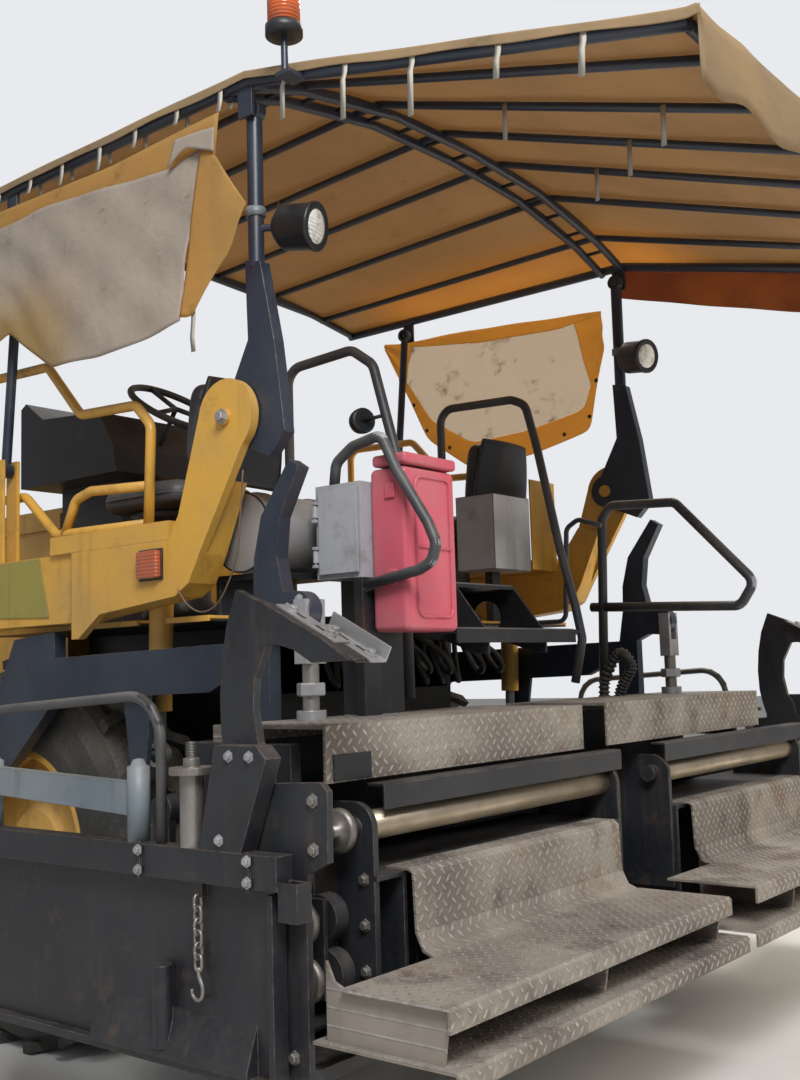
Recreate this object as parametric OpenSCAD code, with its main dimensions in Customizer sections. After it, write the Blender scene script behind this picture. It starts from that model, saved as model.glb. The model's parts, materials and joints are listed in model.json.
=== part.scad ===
// Wheeled asphalt paver with a raised telescoping screed and a folding canopy.
// X points forward, Y to the left, Z up. The origin is on the ground, midway under the rear wheels.

/* [Wheels] */
// Diameter of the rear tyres over their lugs
rear_d = 1490; // [1450:5:1500]
// Width of the rear tyres
rear_w = 370; // [300:10:375]
// Distance of the rear tyres' outer faces from the middle plane
wheel_out = 1130; // [1125:1:1135]
// Diameter of the rear rims
rear_rim_d = 780; // [740:10:800]
// Diameter of the solid front tyres
front_d = 560; // [520:10:565]
// Width of the solid front tyres
front_w = 300; // [240:10:310]
// Distance of the first front axle from the rear wheels
front_axle_1 = 2150; // [2120:5:2160]
// Distance from the first to the second front axle
bogie_base = 650; // [645:1:660]
// Distance of the kingpins from the middle plane
kingpin_y = 700; // [690:2:705]

/* [Chassis] */
// Distance of the side plates' inner faces from the middle plane
frame_in = 560; // [550:2:565]
// Thickness of the side plates
frame_t = 30; // [20:1:32]
// Height of the side plates' top edge behind the hopper
frame_top = 1150; // [1140:1:1155]
// Height of the side plates' top edge under the hopper
hopper_floor_z = 640; // [636:1:644]
// Rear end of the side plates
frame_back = -850; // [-860:1:-845]
// Front end of the side plates
frame_front = 3850; // [3845:1:3870]
// Place of the hopper's rear wall
hopper_back = 1780; // [1775:1:1785]

/* [Hopper] */
// Length of the hopper wings
wing_len = 1980; // [1900:5:1983]
// Height of the wings' hinge line
wing_hinge_z = 683; // [680:1:688]
// Radius of the wing hinge pins
wing_pin_r = 10; // [8:1:12]
// Pitch of the conveyor bars
bar_pitch = 220; // [180:10:260]

/* [Screed] */
// Height of the deck's tread plate
deck_z = 1255; // [1250:1:1262]
// Rear edge of the deck
deck_back = -1940; // [-1943:1:-1938]
// Half width of the basic screed
screed_half = 1480; // [1475:1:1500]
// Height of the screed's sole over the ground as it is parked
sole_z = 385; // [380:1:395]
// Height of the upper walkway
walk_z = 633; // [625:1:640]
// Height of the lower walkway
low_walk_z = 496; // [490:1:500]
// Distance that the right extension stands further out than the left
right_out = 385; // [380:1:395]
// Radius of the guide tube that carries both extensions
guide_r = 45; // [40:1:46]
// Radius of the bright tube between the carrier brackets
bright_r = 40; // [30:1:42]
// Place of the tow points ahead of the rear wheels
tow_x = 850; // [845:1:855]
// Height of the tow points
tow_z = 550; // [545:1:555]
// Radius of the tow pins
tow_pin_r = 30; // [25:1:34]

/* [Augers] */
// Radius of the auger flights
auger_r = 190; // [170:5:195]
// Radius of the auger shafts
auger_shaft_r = 30; // [25:1:36]
// Pitch of the flights
auger_pitch = 300; // [260:10:340]
// Height of the auger shafts
auger_z = 430; // [420:5:440]
// Distance of the auger shafts behind the rear wheels
auger_back = 1060; // [1055:1:1065]

/* [Platform and canopy] */
// Height of the platform floor
floor_z = 1600; // [1598:1:1602]
// Half width of the platform floor
floor_half = 1150; // [1149:1:1151]
// Place of the canopy pins on the swan necks
canopy_pin_x = -1365; // [-1368:1:-1362]
// Height of the canopy pins
canopy_pin_z = 2218; // [2212:1:2224]
// Height from a canopy pin to the roof's hinge
mast_rise = 1007; // [1000:1:1012]
// Backward lean of the masts over that height
mast_lean = 100; // [97:1:103]
// Distance from the rear masts to the front masts
mast_base = 1305; // [1300:1:1310]
// Height of the roof's side tubes
roof_z = 3310; // [3306:1:3314]
// Half width of the roof between the side tubes' middles
roof_half = 1250; // [1248:1:1252]
// Rise of the roof's arch over its side tubes
roof_rise = 185; // [170:5:200]
// Rear edge of the roof
roof_back = -3000; // [-3050:10:-2950]
// Front edge of the roof
roof_front = 270; // [250:5:290]
// Half width of the engine cowl
cowl_half = 700; // [690:5:710]
// Height of the engine cowl
cowl_top = 2120; // [2110:5:2122]

/* [Hidden] */

$fn = 32;
fit = 0.06;
touch = 0.3;

rear_r = rear_d / 2;
rear_y = [wheel_out - rear_w, wheel_out];
frame_y = [frame_in, frame_in + frame_t];
front_r = front_d / 2;
front_in = kingpin_y + 75;
front_axles_x = [front_axle_1, front_axle_1 + bogie_base];

yellow = [0.88, 0.62, 0.20];
dark = [0.14, 0.16, 0.20];
navy = [0.18, 0.23, 0.31];
steel = [0.55, 0.55, 0.54];
tread = [0.52, 0.49, 0.45];
tyre = [0.07, 0.07, 0.07];
grey = [0.62, 0.62, 0.66];
ochre = [0.62, 0.45, 0.24];

// A block from one corner to the other, each argument a low and a high value
module slab(x, y, z) {
  translate([x[0], y[0], z[0]]) cube([x[1] - x[0], y[1] - y[0], z[1] - z[0]]);
}

// An outline in X and Z, as thick as the two values of y
module side_cut(y, outline) {
  translate([0, y[1], 0]) rotate([90, 0, 0]) linear_extrude(y[1] - y[0]) polygon(outline);
}

// An outline in Y and Z, carried along X
module along_x(x, outline) {
  translate([x[0], 0, 0]) rotate([90, 0, 90]) linear_extrude(x[1] - x[0]) polygon(outline);
}

// Round bars along each axis
module y_bar(y, x, z, r) {
  translate([x, y[0], z]) rotate([-90, 0, 0]) cylinder(h = y[1] - y[0], r = r);
}
module x_bar(x, y, z, r) {
  translate([x[0], y, z]) rotate([0, 90, 0]) cylinder(h = x[1] - x[0], r = r);
}
module z_bar(z, x, y, r) {
  translate([x, y, z[0]]) cylinder(h = z[1] - z[0], r = r);
}

module both_sides() {
  children();
  mirror([0, 1, 0]) children();
}

// Left pieces are drawn at positive Y, right pieces are their mirror images
module on_side(side) {
  if (side > 0) children();
  else mirror([0, 1, 0]) children();
}

function unit(v) = v / norm(v);

// A straight round bar between two points
module bar(a, b, r) {
  d = b - a;
  translate(a) rotate([0, acos(d[2] / norm(d)), atan2(d[1], d[0])]) cylinder(h = norm(d), r = r);
}

// Points of a path with each inner corner rounded off to an arc of radius bend
bend_steps = 4;
function rounded(points, bend) = [
  points[0],
  for (i = [1 : 1 : len(points) - 2])
    let (d1 = unit(points[i] - points[i - 1]), d2 = unit(points[i + 1] - points[i]),
      turn = acos(min(1, d1 * d2)), back = bend * tan(turn / 2))
      each turn < 15 ? [points[i]] :
        let (inward = unit(d2 - (d1 * d2) * d1), c = points[i] - back * d1 + bend * inward)
          [for (k = [0 : bend_steps]) let (t = turn * k / bend_steps)
            c + bend * (sin(t) * d1 - cos(t) * inward)],
  points[len(points) - 1]
];

// A tube of radius r swept through points that lie in a plane, whose normal is flat
tube_sides = 10;
module tube(points, r, bend, flat = [0, 1, 0]) {
  path = rounded(points, bend);
  last = len(path) - 1;
  rings = [for (i = [0 : last])
    let (before = unit(path[max(1, i)] - path[max(1, i) - 1]),
      after = unit(path[min(last, i + 1)] - path[min(last, i + 1) - 1]),
      up = unit(cross(flat, unit(before + after))) / cos(acos(min(1, before * after)) / 2))
      [for (k = [0 : tube_sides - 1]) let (a = 360 * k / tube_sides)
        path[i] + r * (cos(a) * flat + sin(a) * up)]];
  n = tube_sides;
  polyhedron(points = [for (ring = rings) each ring], faces = concat(
    [[for (k = [n - 1 : -1 : 0]) k]],
    [for (i = [0 : last - 1], k = [0 : n - 1]) each [
      [i * n + k, i * n + (k + 1) % n, (i + 1) * n + (k + 1) % n],
      [i * n + k, (i + 1) * n + (k + 1) % n, (i + 1) * n + k]]],
    [[for (k = [0 : n - 1]) last * n + k]]));
}

// Points of an outline in X and Z set at one Y
function at_y(y, outline) = [for (p = outline) [p[0], y, p[1]]];

// Chassis

module main_frame() {
  color(dark) {
    both_sides() {
      side_cut(frame_y, [[frame_back, frame_in], [frame_back, frame_top], [hopper_back, frame_top],
        [hopper_back, hopper_floor_z], [frame_front, hopper_floor_z], [frame_front, 420],
        [hopper_back + 170, 420], [hopper_back, frame_in]]);
      slab([tow_x - 50, tow_x + 50], [frame_y[1], 1160], [tow_z - 70, tow_z + 70]);
      y_bar([1160, 1240], tow_x, tow_z, tow_pin_r);
      y_bar([1230, 1240], tow_x, tow_z, tow_pin_r + 15);
    }
    slab([frame_back, frame_back + 20], [-frame_in, frame_in], [890, frame_top]);
    for (x = [680, 1220, hopper_back - 30])
      slab([x, x + 30], [-frame_in, frame_in], [1060, frame_top]);
    slab([1000, 1060], [-frame_in, frame_in], [frame_in, frame_in + 20]);
    slab([frame_front - 30, frame_front], [-frame_in, frame_in], [420, 560]);
  }
}

hub_r = 120;
module rear_drives() {
  color(dark) both_sides() {
    y_bar([frame_y[1], frame_y[1] + 30], 0, rear_r, 220);
    y_bar([frame_y[1] + 30, rear_y[0] - 15], 0, rear_r, 160);
    y_bar([rear_y[0] - 15, wheel_out - 140], 0, rear_r, hub_r);
  }
}

module rear_rim(side) {
  color(yellow) on_side(side) translate([0, 0, rear_r]) rotate([-90, 0, 0])
    rotate_extrude() polygon([[hub_r + fit, rear_y[0] + 40], [hub_r + 50, rear_y[0] + 40],
      [hub_r + 60, wheel_out - 165], [rear_rim_d / 2 - 40, wheel_out - 175],
      [rear_rim_d / 2 - 40, rear_y[0] + 45], [rear_rim_d / 2, rear_y[0] + 30],
      [rear_rim_d / 2, wheel_out - 30], [rear_rim_d / 2 - 25, wheel_out - 30],
      [rear_rim_d / 2 - 40, wheel_out - 145], [hub_r + 60, wheel_out - 120],
      [hub_r + 30, wheel_out - 95], [0, wheel_out - 95], [0, wheel_out - 130],
      [hub_r + fit, wheel_out - 130]]);
}

lug_h = 30;
lugs_n = 20;
module rear_tyre(side) {
  rim = rear_rim_d / 2;
  tread_r = rear_r - lug_h;
  color(tyre) on_side(side) translate([0, 0, rear_r]) rotate([-90, 0, 0]) union() {
    rotate_extrude() polygon([[rim, rear_y[0] + 30], [rim + 90, rear_y[0] + 5],
      [rear_r - 140, rear_y[0]], [tread_r - 30, rear_y[0] + 22], [tread_r, rear_y[0] + 62],
      [tread_r, wheel_out - 62], [tread_r - 30, wheel_out - 22], [rear_r - 140, wheel_out],
      [rim + 90, wheel_out - 5], [rim, wheel_out - 30]]);
    lug_w = rear_w / 2 - 4;
    for (i = [0 : lugs_n - 1], row = [0, 1])
      rotate([0, 0, (i + row / 2) * 360 / lugs_n]) translate([0, 0, row == 0 ? rear_y[0] + 12 + lug_w / 2
        : rear_y[1] - 12 - lug_w / 2]) multmatrix([[1, 0, 0, 0], [0, 1, row == 0 ? 0.45 : -0.45, 0],
        [0, 0, 1, 0]]) translate([tread_r - 8, -26, -lug_w / 2]) cube([lug_h + 5, 52, lug_w]);
  }
}

king_r = 22;
beam_z = [230, 340];
module front_axles() {
  color(dark) for (x = front_axles_x) {
    slab([x - 45, x + 45], [-kingpin_y, kingpin_y], beam_z);
    both_sides() {
      z_bar(beam_z, x, kingpin_y, 45);
      z_bar([beam_z[0] - 50, beam_z[1] + 50], x, kingpin_y, king_r);
      slab([x - 60, x + 60], frame_y, [beam_z[1], 420]);
    }
  }
}

spindle_r = 28;
module knuckle(x, side) {
  color(dark) on_side(side) {
    difference() {
      union() {
        for (z = [[beam_z[0] - 42, beam_z[0] - 8], [beam_z[1] + 8, beam_z[1] + 42]]) {
          z_bar(z, x, kingpin_y, 42);
          slab([x - 42, x + 42], [kingpin_y, kingpin_y + 62], z);
        }
        slab([x - 42, x + 42], [kingpin_y + 50, kingpin_y + 68], [beam_z[0] - 42, beam_z[1] + 42]);
        y_bar([kingpin_y + 60, front_in + front_w - 40], x, front_r, spindle_r);
      }
      z_bar([beam_z[0] - 60, beam_z[1] + 60], x, kingpin_y, king_r + fit);
    }
  }
}

module front_wheel(x, side) {
  out = front_in + front_w;
  color(tyre) on_side(side) translate([x, 0, front_r]) rotate([-90, 0, 0])
    rotate_extrude() polygon([[spindle_r + fit, front_in + 20], [70, front_in + 20],
      [80, front_in + 130], [170, front_in + 120], [180, front_in + 10], [front_r - 30, front_in],
      [front_r, front_in + 25], [front_r, out - 25], [front_r - 30, out], [180, out - 10],
      [165, out - 90], [80, out - 70], [70, out - 25], [0, out - 25], [0, out - 38],
      [spindle_r + fit, out - 38]]);
}

// Tanks and engine

module side_tanks() {
  color(yellow) both_sides()
    along_x([930, hopper_back - 20], [[frame_y[1], 660], [1110, 660], [1150, 700],
      [1150, frame_top - 50], [1110, frame_top], [frame_y[1], frame_top]]);
}

cowl_back = 250;
cowl_front = hopper_back - 20;
grille_n = 9;
module engine_cowl() {
  color(yellow) {
    difference() {
      slab([cowl_back, cowl_front], [-cowl_half, cowl_half], [frame_top, cowl_top]);
      slab([cowl_back + 20, cowl_front - 20], [-cowl_half + 20, cowl_half - 20],
        [frame_top + 20, cowl_top + 1]);
      slab([cowl_back + 60, cowl_front - 60], [-frame_in, frame_in],
        [frame_top - 1, frame_top + 21]);
      for (i = [0 : grille_n - 1])
        slab([1100, 1600], [-cowl_half - 1, cowl_half + 1],
          [1300 + i * 75, 1335 + i * 75]);
    }
    both_sides() for (y = [540, 645]) slab([cowl_back - 16, cowl_back + 1], [y, y + 15], [cowl_top - 20, cowl_top + 26]);
    both_sides() y_bar([540, 660], hood_hinge[0], hood_hinge[1], 8);
  }
}

hood_hinge = [cowl_back - 6, cowl_top + 17];
module hood_lid() {
  color(yellow) {
    slab([cowl_back + 12, cowl_front + 20], [-cowl_half - 18, cowl_half + 18], [cowl_top + 6, cowl_top + 30]);
    both_sides() slab([cowl_back + 30, cowl_front + 20], [cowl_half + 6, cowl_half + 18], [cowl_top - 60, cowl_top + 6]);
    both_sides() difference() {
      union() {
        y_bar([562, 638], hood_hinge[0], hood_hinge[1], 16);
        slab([hood_hinge[0], cowl_back + 20], [562, 638], [cowl_top + 12, cowl_top + 30]);
      }
      y_bar([561, 639], hood_hinge[0], hood_hinge[1], 8 + fit);
    }
  }
}

module engine_block() {
  color(dark) slab([620, 1500], [-420, 420], [frame_top, 1800]);
}

module exhaust() {
  color(steel) {
    z_bar([cowl_top + 50, 2440], 1640, 450, 45);
    slab([1560, 1720], [370, 530], [cowl_top + 30, cowl_top + 50]);
  }
}

// Hopper and conveyor

module hopper_apron() {
  color(dark) {
    slab([hopper_back, 3675], [-frame_y[1], frame_y[1]], [hopper_floor_z, hopper_floor_z + 10]);
    slab([-735, hopper_back], [-frame_in, frame_in], [hopper_floor_z, hopper_floor_z + 10]);
    slab([frame_back + 20, hopper_back], [-frame_in, frame_in], [880, 890]);
    slab([-735, hopper_back], [-8, 8], [hopper_floor_z + 10, 880]);
    slab([hopper_back, hopper_back + 16], [-600, 600], [880, 1480]);
    both_sides() slab([hopper_back, hopper_back + 16], [frame_y[0], 600], [hopper_floor_z + 10, 890]);
    slab([frame_front - 46, frame_front], [-frame_in, frame_in], [560, 575]);
    slab([frame_front - 14, frame_front], [-frame_in, frame_in], [575, 760]);
    both_sides() {
      for (x = [hopper_back + 17, hopper_back + 37 + wing_len])
        slab([x, x + 14], [572, 608], [hopper_floor_z + 0, wing_hinge_z + 20]);
      x_bar([hopper_back + 17, hopper_back + 51 + wing_len], 590, wing_hinge_z, wing_pin_r);
    }
  }
}

wing_x = [hopper_back + 36, hopper_back + 32 + wing_len];
module hopper_wing(side) {
  color(dark) on_side(side) difference() {
    union() {
      along_x(wing_x, [[600, 692], [1115, 752], [1590, 1250], [1640, 1250], [1640, 1238],
        [1598, 1238], [1122, 739], [600, 679]]);
      for (x = [[wing_x[0], wing_x[0] + 12]])
        along_x(x, [[604, 685], [1118, 745], [1594, 1245], [1594, 1400], [650, 1400]]);
      for (x = [[wing_x[1] - 12, wing_x[1]]])
        along_x(x, [[604, 685], [1118, 745], [1594, 1245], [1300, 1250], [650, 840]]);
      for (x = [wing_x[0] + 500, wing_x[0] + 1000, wing_x[0] + 1500])
        along_x([x, x + 15], [[700, 690], [1122, 741], [1590, 1230], [1560, 1150], [1150, 700], [760, 655]]);
      x_bar(wing_x, 590, wing_hinge_z, 18);
    }
    x_bar([wing_x[0] - 1, wing_x[1] + 1], 590, wing_hinge_z, wing_pin_r + fit);
  }
}

chain_r = 45;
chain_ends = [-790, 3730];
chain_z = hopper_floor_z - 10;
module conveyor() {
  bars_n = floor((chain_ends[1] - chain_ends[0]) / bar_pitch);
  color(steel) {
    for (lane = [-1, 1]) {
      for (y = [60, 480]) difference() {
        y0 = lane > 0 ? y : -y - 20;
        union() {
          for (x = chain_ends) y_bar([y0, y0 + 20], x, chain_z, chain_r);
          slab(chain_ends, [y0, y0 + 20], [chain_z - chain_r, chain_z + chain_r]);
        }
        slab([chain_ends[0] + 50, chain_ends[1] - 50], [y0 - 1, y0 + 21],
          [chain_z - chain_r + 15, chain_z + chain_r - 15]);
      }
      for (i = [1 : bars_n - 1], up = [-1, 1]) {
        x = chain_ends[0] + i * bar_pitch;
        y0 = lane > 0 ? 35 : -525;
        z0 = chain_z + (up > 0 ? chain_r - 12 : -chain_r - 10);
        slab([x - 20, x + 20], [y0, y0 + 490], [z0, z0 + 22]);
      }
    }
    for (x = chain_ends) y_bar([-frame_in, frame_in], x, chain_z, 25);
  }
}

roller = [frame_front + 160, 520];
module push_beam() {
  color(dark) {
    difference() {
      slab([frame_front, frame_front + 50], [-640, 640], [430, 575 - 15]);
      for (y = [-22, 22], z = [460, 530]) x_bar([frame_front - 1, frame_front + 51], y, z, 8);
    }
    both_sides() for (y = [42, 626]) difference() {
      side_cut([y, y + 12], [[frame_front + 50, 440], [frame_front + 50, 556], [roller[0] + 20, 556],
        [roller[0] + 40, 520], [roller[0] + 20, 484]]);
      y_bar([y - 1, y + 13], roller[0], roller[1], 20 + fit);
    }
  }
}

module push_roller(side) {
  color(steel) on_side(side) {
    y_bar([42, 638], roller[0], roller[1], 20);
    y_bar([62, 618], roller[0], roller[1], 85);
  }
}

// Augers

module auger_carrier() {
  color(dark) {
    slab([-1120, frame_back], [-60, 60], [900, 1040]);
    difference() {
      slab([-1130, -990], [-60, 60], [330, 900]);
      y_bar([-61, 61], -auger_back, auger_z, auger_shaft_r + fit);
    }
    y_bar([-1290, 1290], -1000 - 60, 970, 50);
    both_sides() difference() {
      slab([-1100, -1020], [1262, 1290], [auger_z - 60, 970]);
      y_bar([1261, 1291], -auger_back, auger_z, auger_shaft_r + fit);
    }
  }
}

auger_y = [75, 1250];
module auger(side) {
  turns = (auger_y[1] - auger_y[0] - 40) / auger_pitch;
  color(steel) on_side(side) {
    y_bar([5, 1290], -auger_back, auger_z, auger_shaft_r);
    translate([-auger_back, auger_y[0], auger_z]) rotate([-90, 0, 0])
      linear_extrude(auger_y[1] - auger_y[0] - 40, twist = 360 * turns, slices = round(16 * turns),
        segments = 4)
        polygon([[auger_r, -35], [auger_r, 35], [auger_shaft_r - 8, 6], [auger_shaft_r - 8, -6]]);
  }
}

// Operator's platform

ledge_z = [1850, 1915];
module platform() {
  color(dark) {
    difference() {
      slab([-1140, 245], [-floor_half, floor_half], [floor_z - 20, floor_z]);
      both_sides() slab([lift_top[0] - 75, lift_top[0] + 75], [lift_y - 65, floor_half + 1],
        [floor_z - 21, floor_z + 1]);
    }
    both_sides() slab([frame_back, 245], frame_y, [frame_top, floor_z - 20]);
    slab([frame_back, frame_back + 20], [-frame_in, frame_in], [frame_top, 1320]);
  }
  color(yellow) both_sides() {
    slab([-560, 245], [floor_half, 1250], [floor_z, ledge_z[0]]);
    slab([-1080, -425], [1120, 1265], ledge_z);
    for (y = [1172, 1236]) difference() {
      slab([front_pin_x - 35, front_pin_x + 35], [y, y + 14], [ledge_z[0], canopy_pin_z + 35]);
      y_bar([y - 1, y + 15], front_pin_x, canopy_pin_z, 12);
    }
    y_bar([1172, 1250], front_pin_x, canopy_pin_z, 12);
  }
}

disc_r = 125;
module swan_necks() {
  color(yellow) both_sides() {
    difference() {
      union() {
        side_cut([1240, 1270], [[-560, 1540], [-560, ledge_z[0]], [-1085, ledge_z[0]], [-1136, 1925],
          [canopy_pin_x + 112, canopy_pin_z + 55], [canopy_pin_x - 80, canopy_pin_z - 96],
          [-1236, 1789], [-1183, 1699], [-1117, 1660], [-721, 1621], [-600, 1540]]);
        y_bar([1240, 1270], canopy_pin_x, canopy_pin_z, disc_r);
      }
    }
    side_cut([floor_half, 1240], [[-560, 1600], [-560, ledge_z[0]], [-1085, ledge_z[0]], [-1136, 1925],
      [-1230, 2050], [-1340, 2020], [-1236, 1789], [-1183, 1699], [-1117, 1660], [-721, 1621]]);
    y_bar([1180, 1282], canopy_pin_x, canopy_pin_z, 28);
    y_bar([lift_y - 28, floor_half], lift_top[0], lift_top[1], 15);
  }
}

module operator_seats() {
  color(dark) both_sides() {
    slab([-820, -520], [720, 980], [floor_z, 2000]);
    slab([-900, -430], [620, 1080], [2000, 2110]);
    side_cut([640, 1060], [[-900, 2110], [-930, 2440], [-1010, 2450], [-1020, 2110]]);
  }
}

module console() {
  color(dark) {
    side_cut([430, 960], [[-420, 2200], [-400, 2300], [-310, 2450], [60, 2475], [180, 2560],
      [215, 2540], [215, 2200]]);
    slab([-250, 150], [600, 800], [floor_z, 2200]);
  }
}

rail_y = 1145;
rail_r = 19;
module hand_rails() {
  color(yellow) both_sides() {
    tube(at_y(rail_y, [[200, ledge_z[0]], [200, 2625], [-240, 2610], [-449, 2387], [-771, 2372],
      [-853, 2287], [-835, ledge_z[1] + 1.2]]), rail_r, 60);
    tube(at_y(rail_y, [[190, 2120], [-97, 2115], [-300, 1945], [-820, 1937]]), rail_r - 2, 60);
    tube(at_y(rail_y, [[-350, 1940], [-418, 2068], [-509, 2090], [-835, 2072]]), rail_r - 4, 40);
  }
}

drum = [-1275, 1866];
module rear_lockers() {
  color(steel) y_bar([730, 1120], drum[0], drum[1], 135);
  color(dark) {
    slab([-1380, -1120], [760, 1090], [1713, drum[1] - 135]);
    slab([-1140, -1120], [760, 1090], [floor_z, 1713]);
    slab([-1140, -1120], [-243, 166], [floor_z, 1708]);
    slab([-1450, -1120], [-243, 166], [1708, 1720]);
    slab([-1600, -1400], [-455, 372], [1528, 1540]);
    slab([-1600, -1592], [-455, 372], [1490, 1528]);
    for (y = [-243, 158]) difference() {
      side_cut([y, y + 8], [[-1140, 1540], [-1140, 1708], [-1450, 1708], [-1592, 1528], [-1592, 1450],
        [-1540, 1450], [-1400, 1500]]);
      y_bar([y - 1, y + 9], -1310, 1600, 70);
    }
  }
  color(grey) slab([-1240, -1040], [-704, -418], [1820, 2150]);
  color(grey) slab([-1140, -1100], [-600, -540], [floor_z, 1820]);
}

module rear_rails() {
  color(dark) {
    tube(at_y(600, [[-1005, floor_z], [-1005, 2555], [-1330, 2572], [-1430, 2500], [-1545, 2090],
      [-1555, 1300]]), 19, 70);
    tube(at_y(-500, [[-911, floor_z], [-911, 2580], [-1302, 2564], [-1372, 2532], [-1422, 2342],
      [-1514, 1895], [-1579, 1638], [-1605, 1503], [-1562, 1324]]), 19, 60);
    y_bar([-500, -455.5], -1590, 1532, 9);
    tube(at_y(-750, [[-1140, 1590], [-1380, 1590], [-1403, 2002], [-1464, 2037], [-1577, 2000]]), 11, 40);
    bar([-1140, 600, 1590], [-1550, 600, 1590], 14);
  }
}

// Canopy

front_pin_x = canopy_pin_x + mast_base;
roof_hinge = [canopy_pin_x - mast_lean, canopy_pin_z + mast_rise];
mast_y = 1212;
module rear_masts() {
  color(navy) both_sides() {
    difference() {
      union() {
        side_cut([1190, 1234], [[canopy_pin_x, canopy_pin_z - 75], [-1525, 2075], [-1595, 2145],
          [-1556, 2442], [-1500, 2710], [-1432, 2726], [-1440, 2464],
          [canopy_pin_x + 20, canopy_pin_z + 72]]);
        y_bar([1190, 1234], canopy_pin_x, canopy_pin_z, 75);
      }
      y_bar([1189, 1235], canopy_pin_x, canopy_pin_z, 28 + fit);
    }
    bar([roof_hinge[0] + 2, mast_y, 2700], [roof_hinge[0], mast_y, roof_hinge[1] - 28], 26);
    difference() {
      y_bar([1192, 1228], roof_hinge[0], roof_hinge[1], 34);
      y_bar([1191, 1229], roof_hinge[0], roof_hinge[1], 12 + fit);
    }
  }
  color(dark) both_sides() {
    bar([roof_hinge[0], mast_y, 2830], [-1560, 1160, 2830], 12);
    bar([-1545, 1155, 2830], [-1640, 1130, 2815], 72);
  }
}

module front_masts() {
  color(navy) both_sides() difference() {
    union() {
      bar([front_pin_x, 1211, canopy_pin_z], [front_pin_x - mast_lean, 1211, roof_hinge[1]], 19);
      y_bar([1193, 1229], front_pin_x, canopy_pin_z, 30);
      y_bar([1193, 1227], front_pin_x - mast_lean, roof_hinge[1], 34);
    }
    y_bar([1190, 1232], front_pin_x, canopy_pin_z, 12 + fit);
    y_bar([1190, 1232], front_pin_x - mast_lean, roof_hinge[1], 20);
  }
}

beam_x = canopy_pin_x - mast_lean - 21;
function arch(y) = 1 - pow(abs(y) / roof_half, 2.5);
function ridge_z(y) = roof_z + roof_rise * arch(y);
function rear_z(y) = roof_z - 370 + 15 * arch(y);
function front_z(y) = roof_z + 0.55 * roof_rise * arch(y);
function rafter_z(x, y) = x < beam_x
  ? rear_z(y) + (ridge_z(y) - rear_z(y)) * (x - roof_back) / (beam_x - roof_back)
  : front_z(y) + (ridge_z(y) - front_z(y)) * (roof_front - x) / (roof_front - beam_x);
side_r = 20;
rafter_r = 14;
rafters = [-1000, -600, -200, 200, 600, 1000];
module roof_frame() {
  color(navy) {
    both_sides() {
      tube([[roof_front, roof_half, roof_z], [beam_x, roof_half, roof_z],
        [roof_back, roof_half, rear_z(roof_half)]], side_r, 150);
      for (x = [roof_hinge[0], front_pin_x - mast_lean])
        slab([x - 32, x + 32], [mast_y + 31, mast_y + 43], [roof_hinge[1] - 30, roof_z - 5]);
      for (x = [roof_hinge[0], front_pin_x - mast_lean])
        slab([x - 32, x + 32], [min(mast_y + 31, roof_half - 7), max(mast_y + 43, roof_half + 8)],
          [roof_z - 14, roof_z - 5]);
      y_bar([mast_y - 22, mast_y + 38], roof_hinge[0], roof_hinge[1], 12);
      y_bar([mast_y - 16, mast_y + 38], front_pin_x - mast_lean, roof_hinge[1], 12);
    }
    for (x = [beam_x, beam_x + 110]) tube([for (y = [-roof_half, -1000, -500, 0, 500, 1000, roof_half])
      [x, y, ridge_z(y) - 18]], side_r - 3, 200, [1, 0, 0]);
    bar([roof_back + 12, -roof_half, rear_z(roof_half) + 4],
      [roof_back + 12, roof_half, rear_z(roof_half) + 4], side_r - 3);
    tube([for (y = [-roof_half, -900, 0, 900, roof_half]) [roof_front - 20, y, front_z(y) - 2]],
      side_r - 3, 300, [1, 0, 0]);
    for (y = rafters) {
      tube([[roof_back, y, rear_z(y)], [beam_x, y, ridge_z(y)], [roof_front, y, front_z(y)]],
        rafter_r, 120);
    }
  }
  color(dark) {
    slab([-1735, -1675], [roof_half, roof_half + 78], [roof_z - 80, roof_z - 68]);
    z_bar([roof_z - 74, roof_z + 50], -1700, roof_half + 60, 11);
    z_bar([roof_z + 50, roof_z + 80], -1700, roof_half + 60, 58);
    z_bar([roof_z + 80, roof_z + 210], -1700, roof_half + 60, 50);
  }
}

canvas_t = 6;
canvas_over = 19.9;
valance = 190;
canvas_x = [roof_back - 26, -2300, beam_x, -600, roof_front + 26];
canvas_side = roof_half + side_r + touch;
canvas_y = [-canvas_side, -1000, -600, -200, 200, 600, 1000, canvas_side];
function canvas_z(x, y) = rafter_z(max(roof_back, min(roof_front, x)),
  max(-roof_half, min(roof_half, y))) + canvas_over;
hem = 24;
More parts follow.
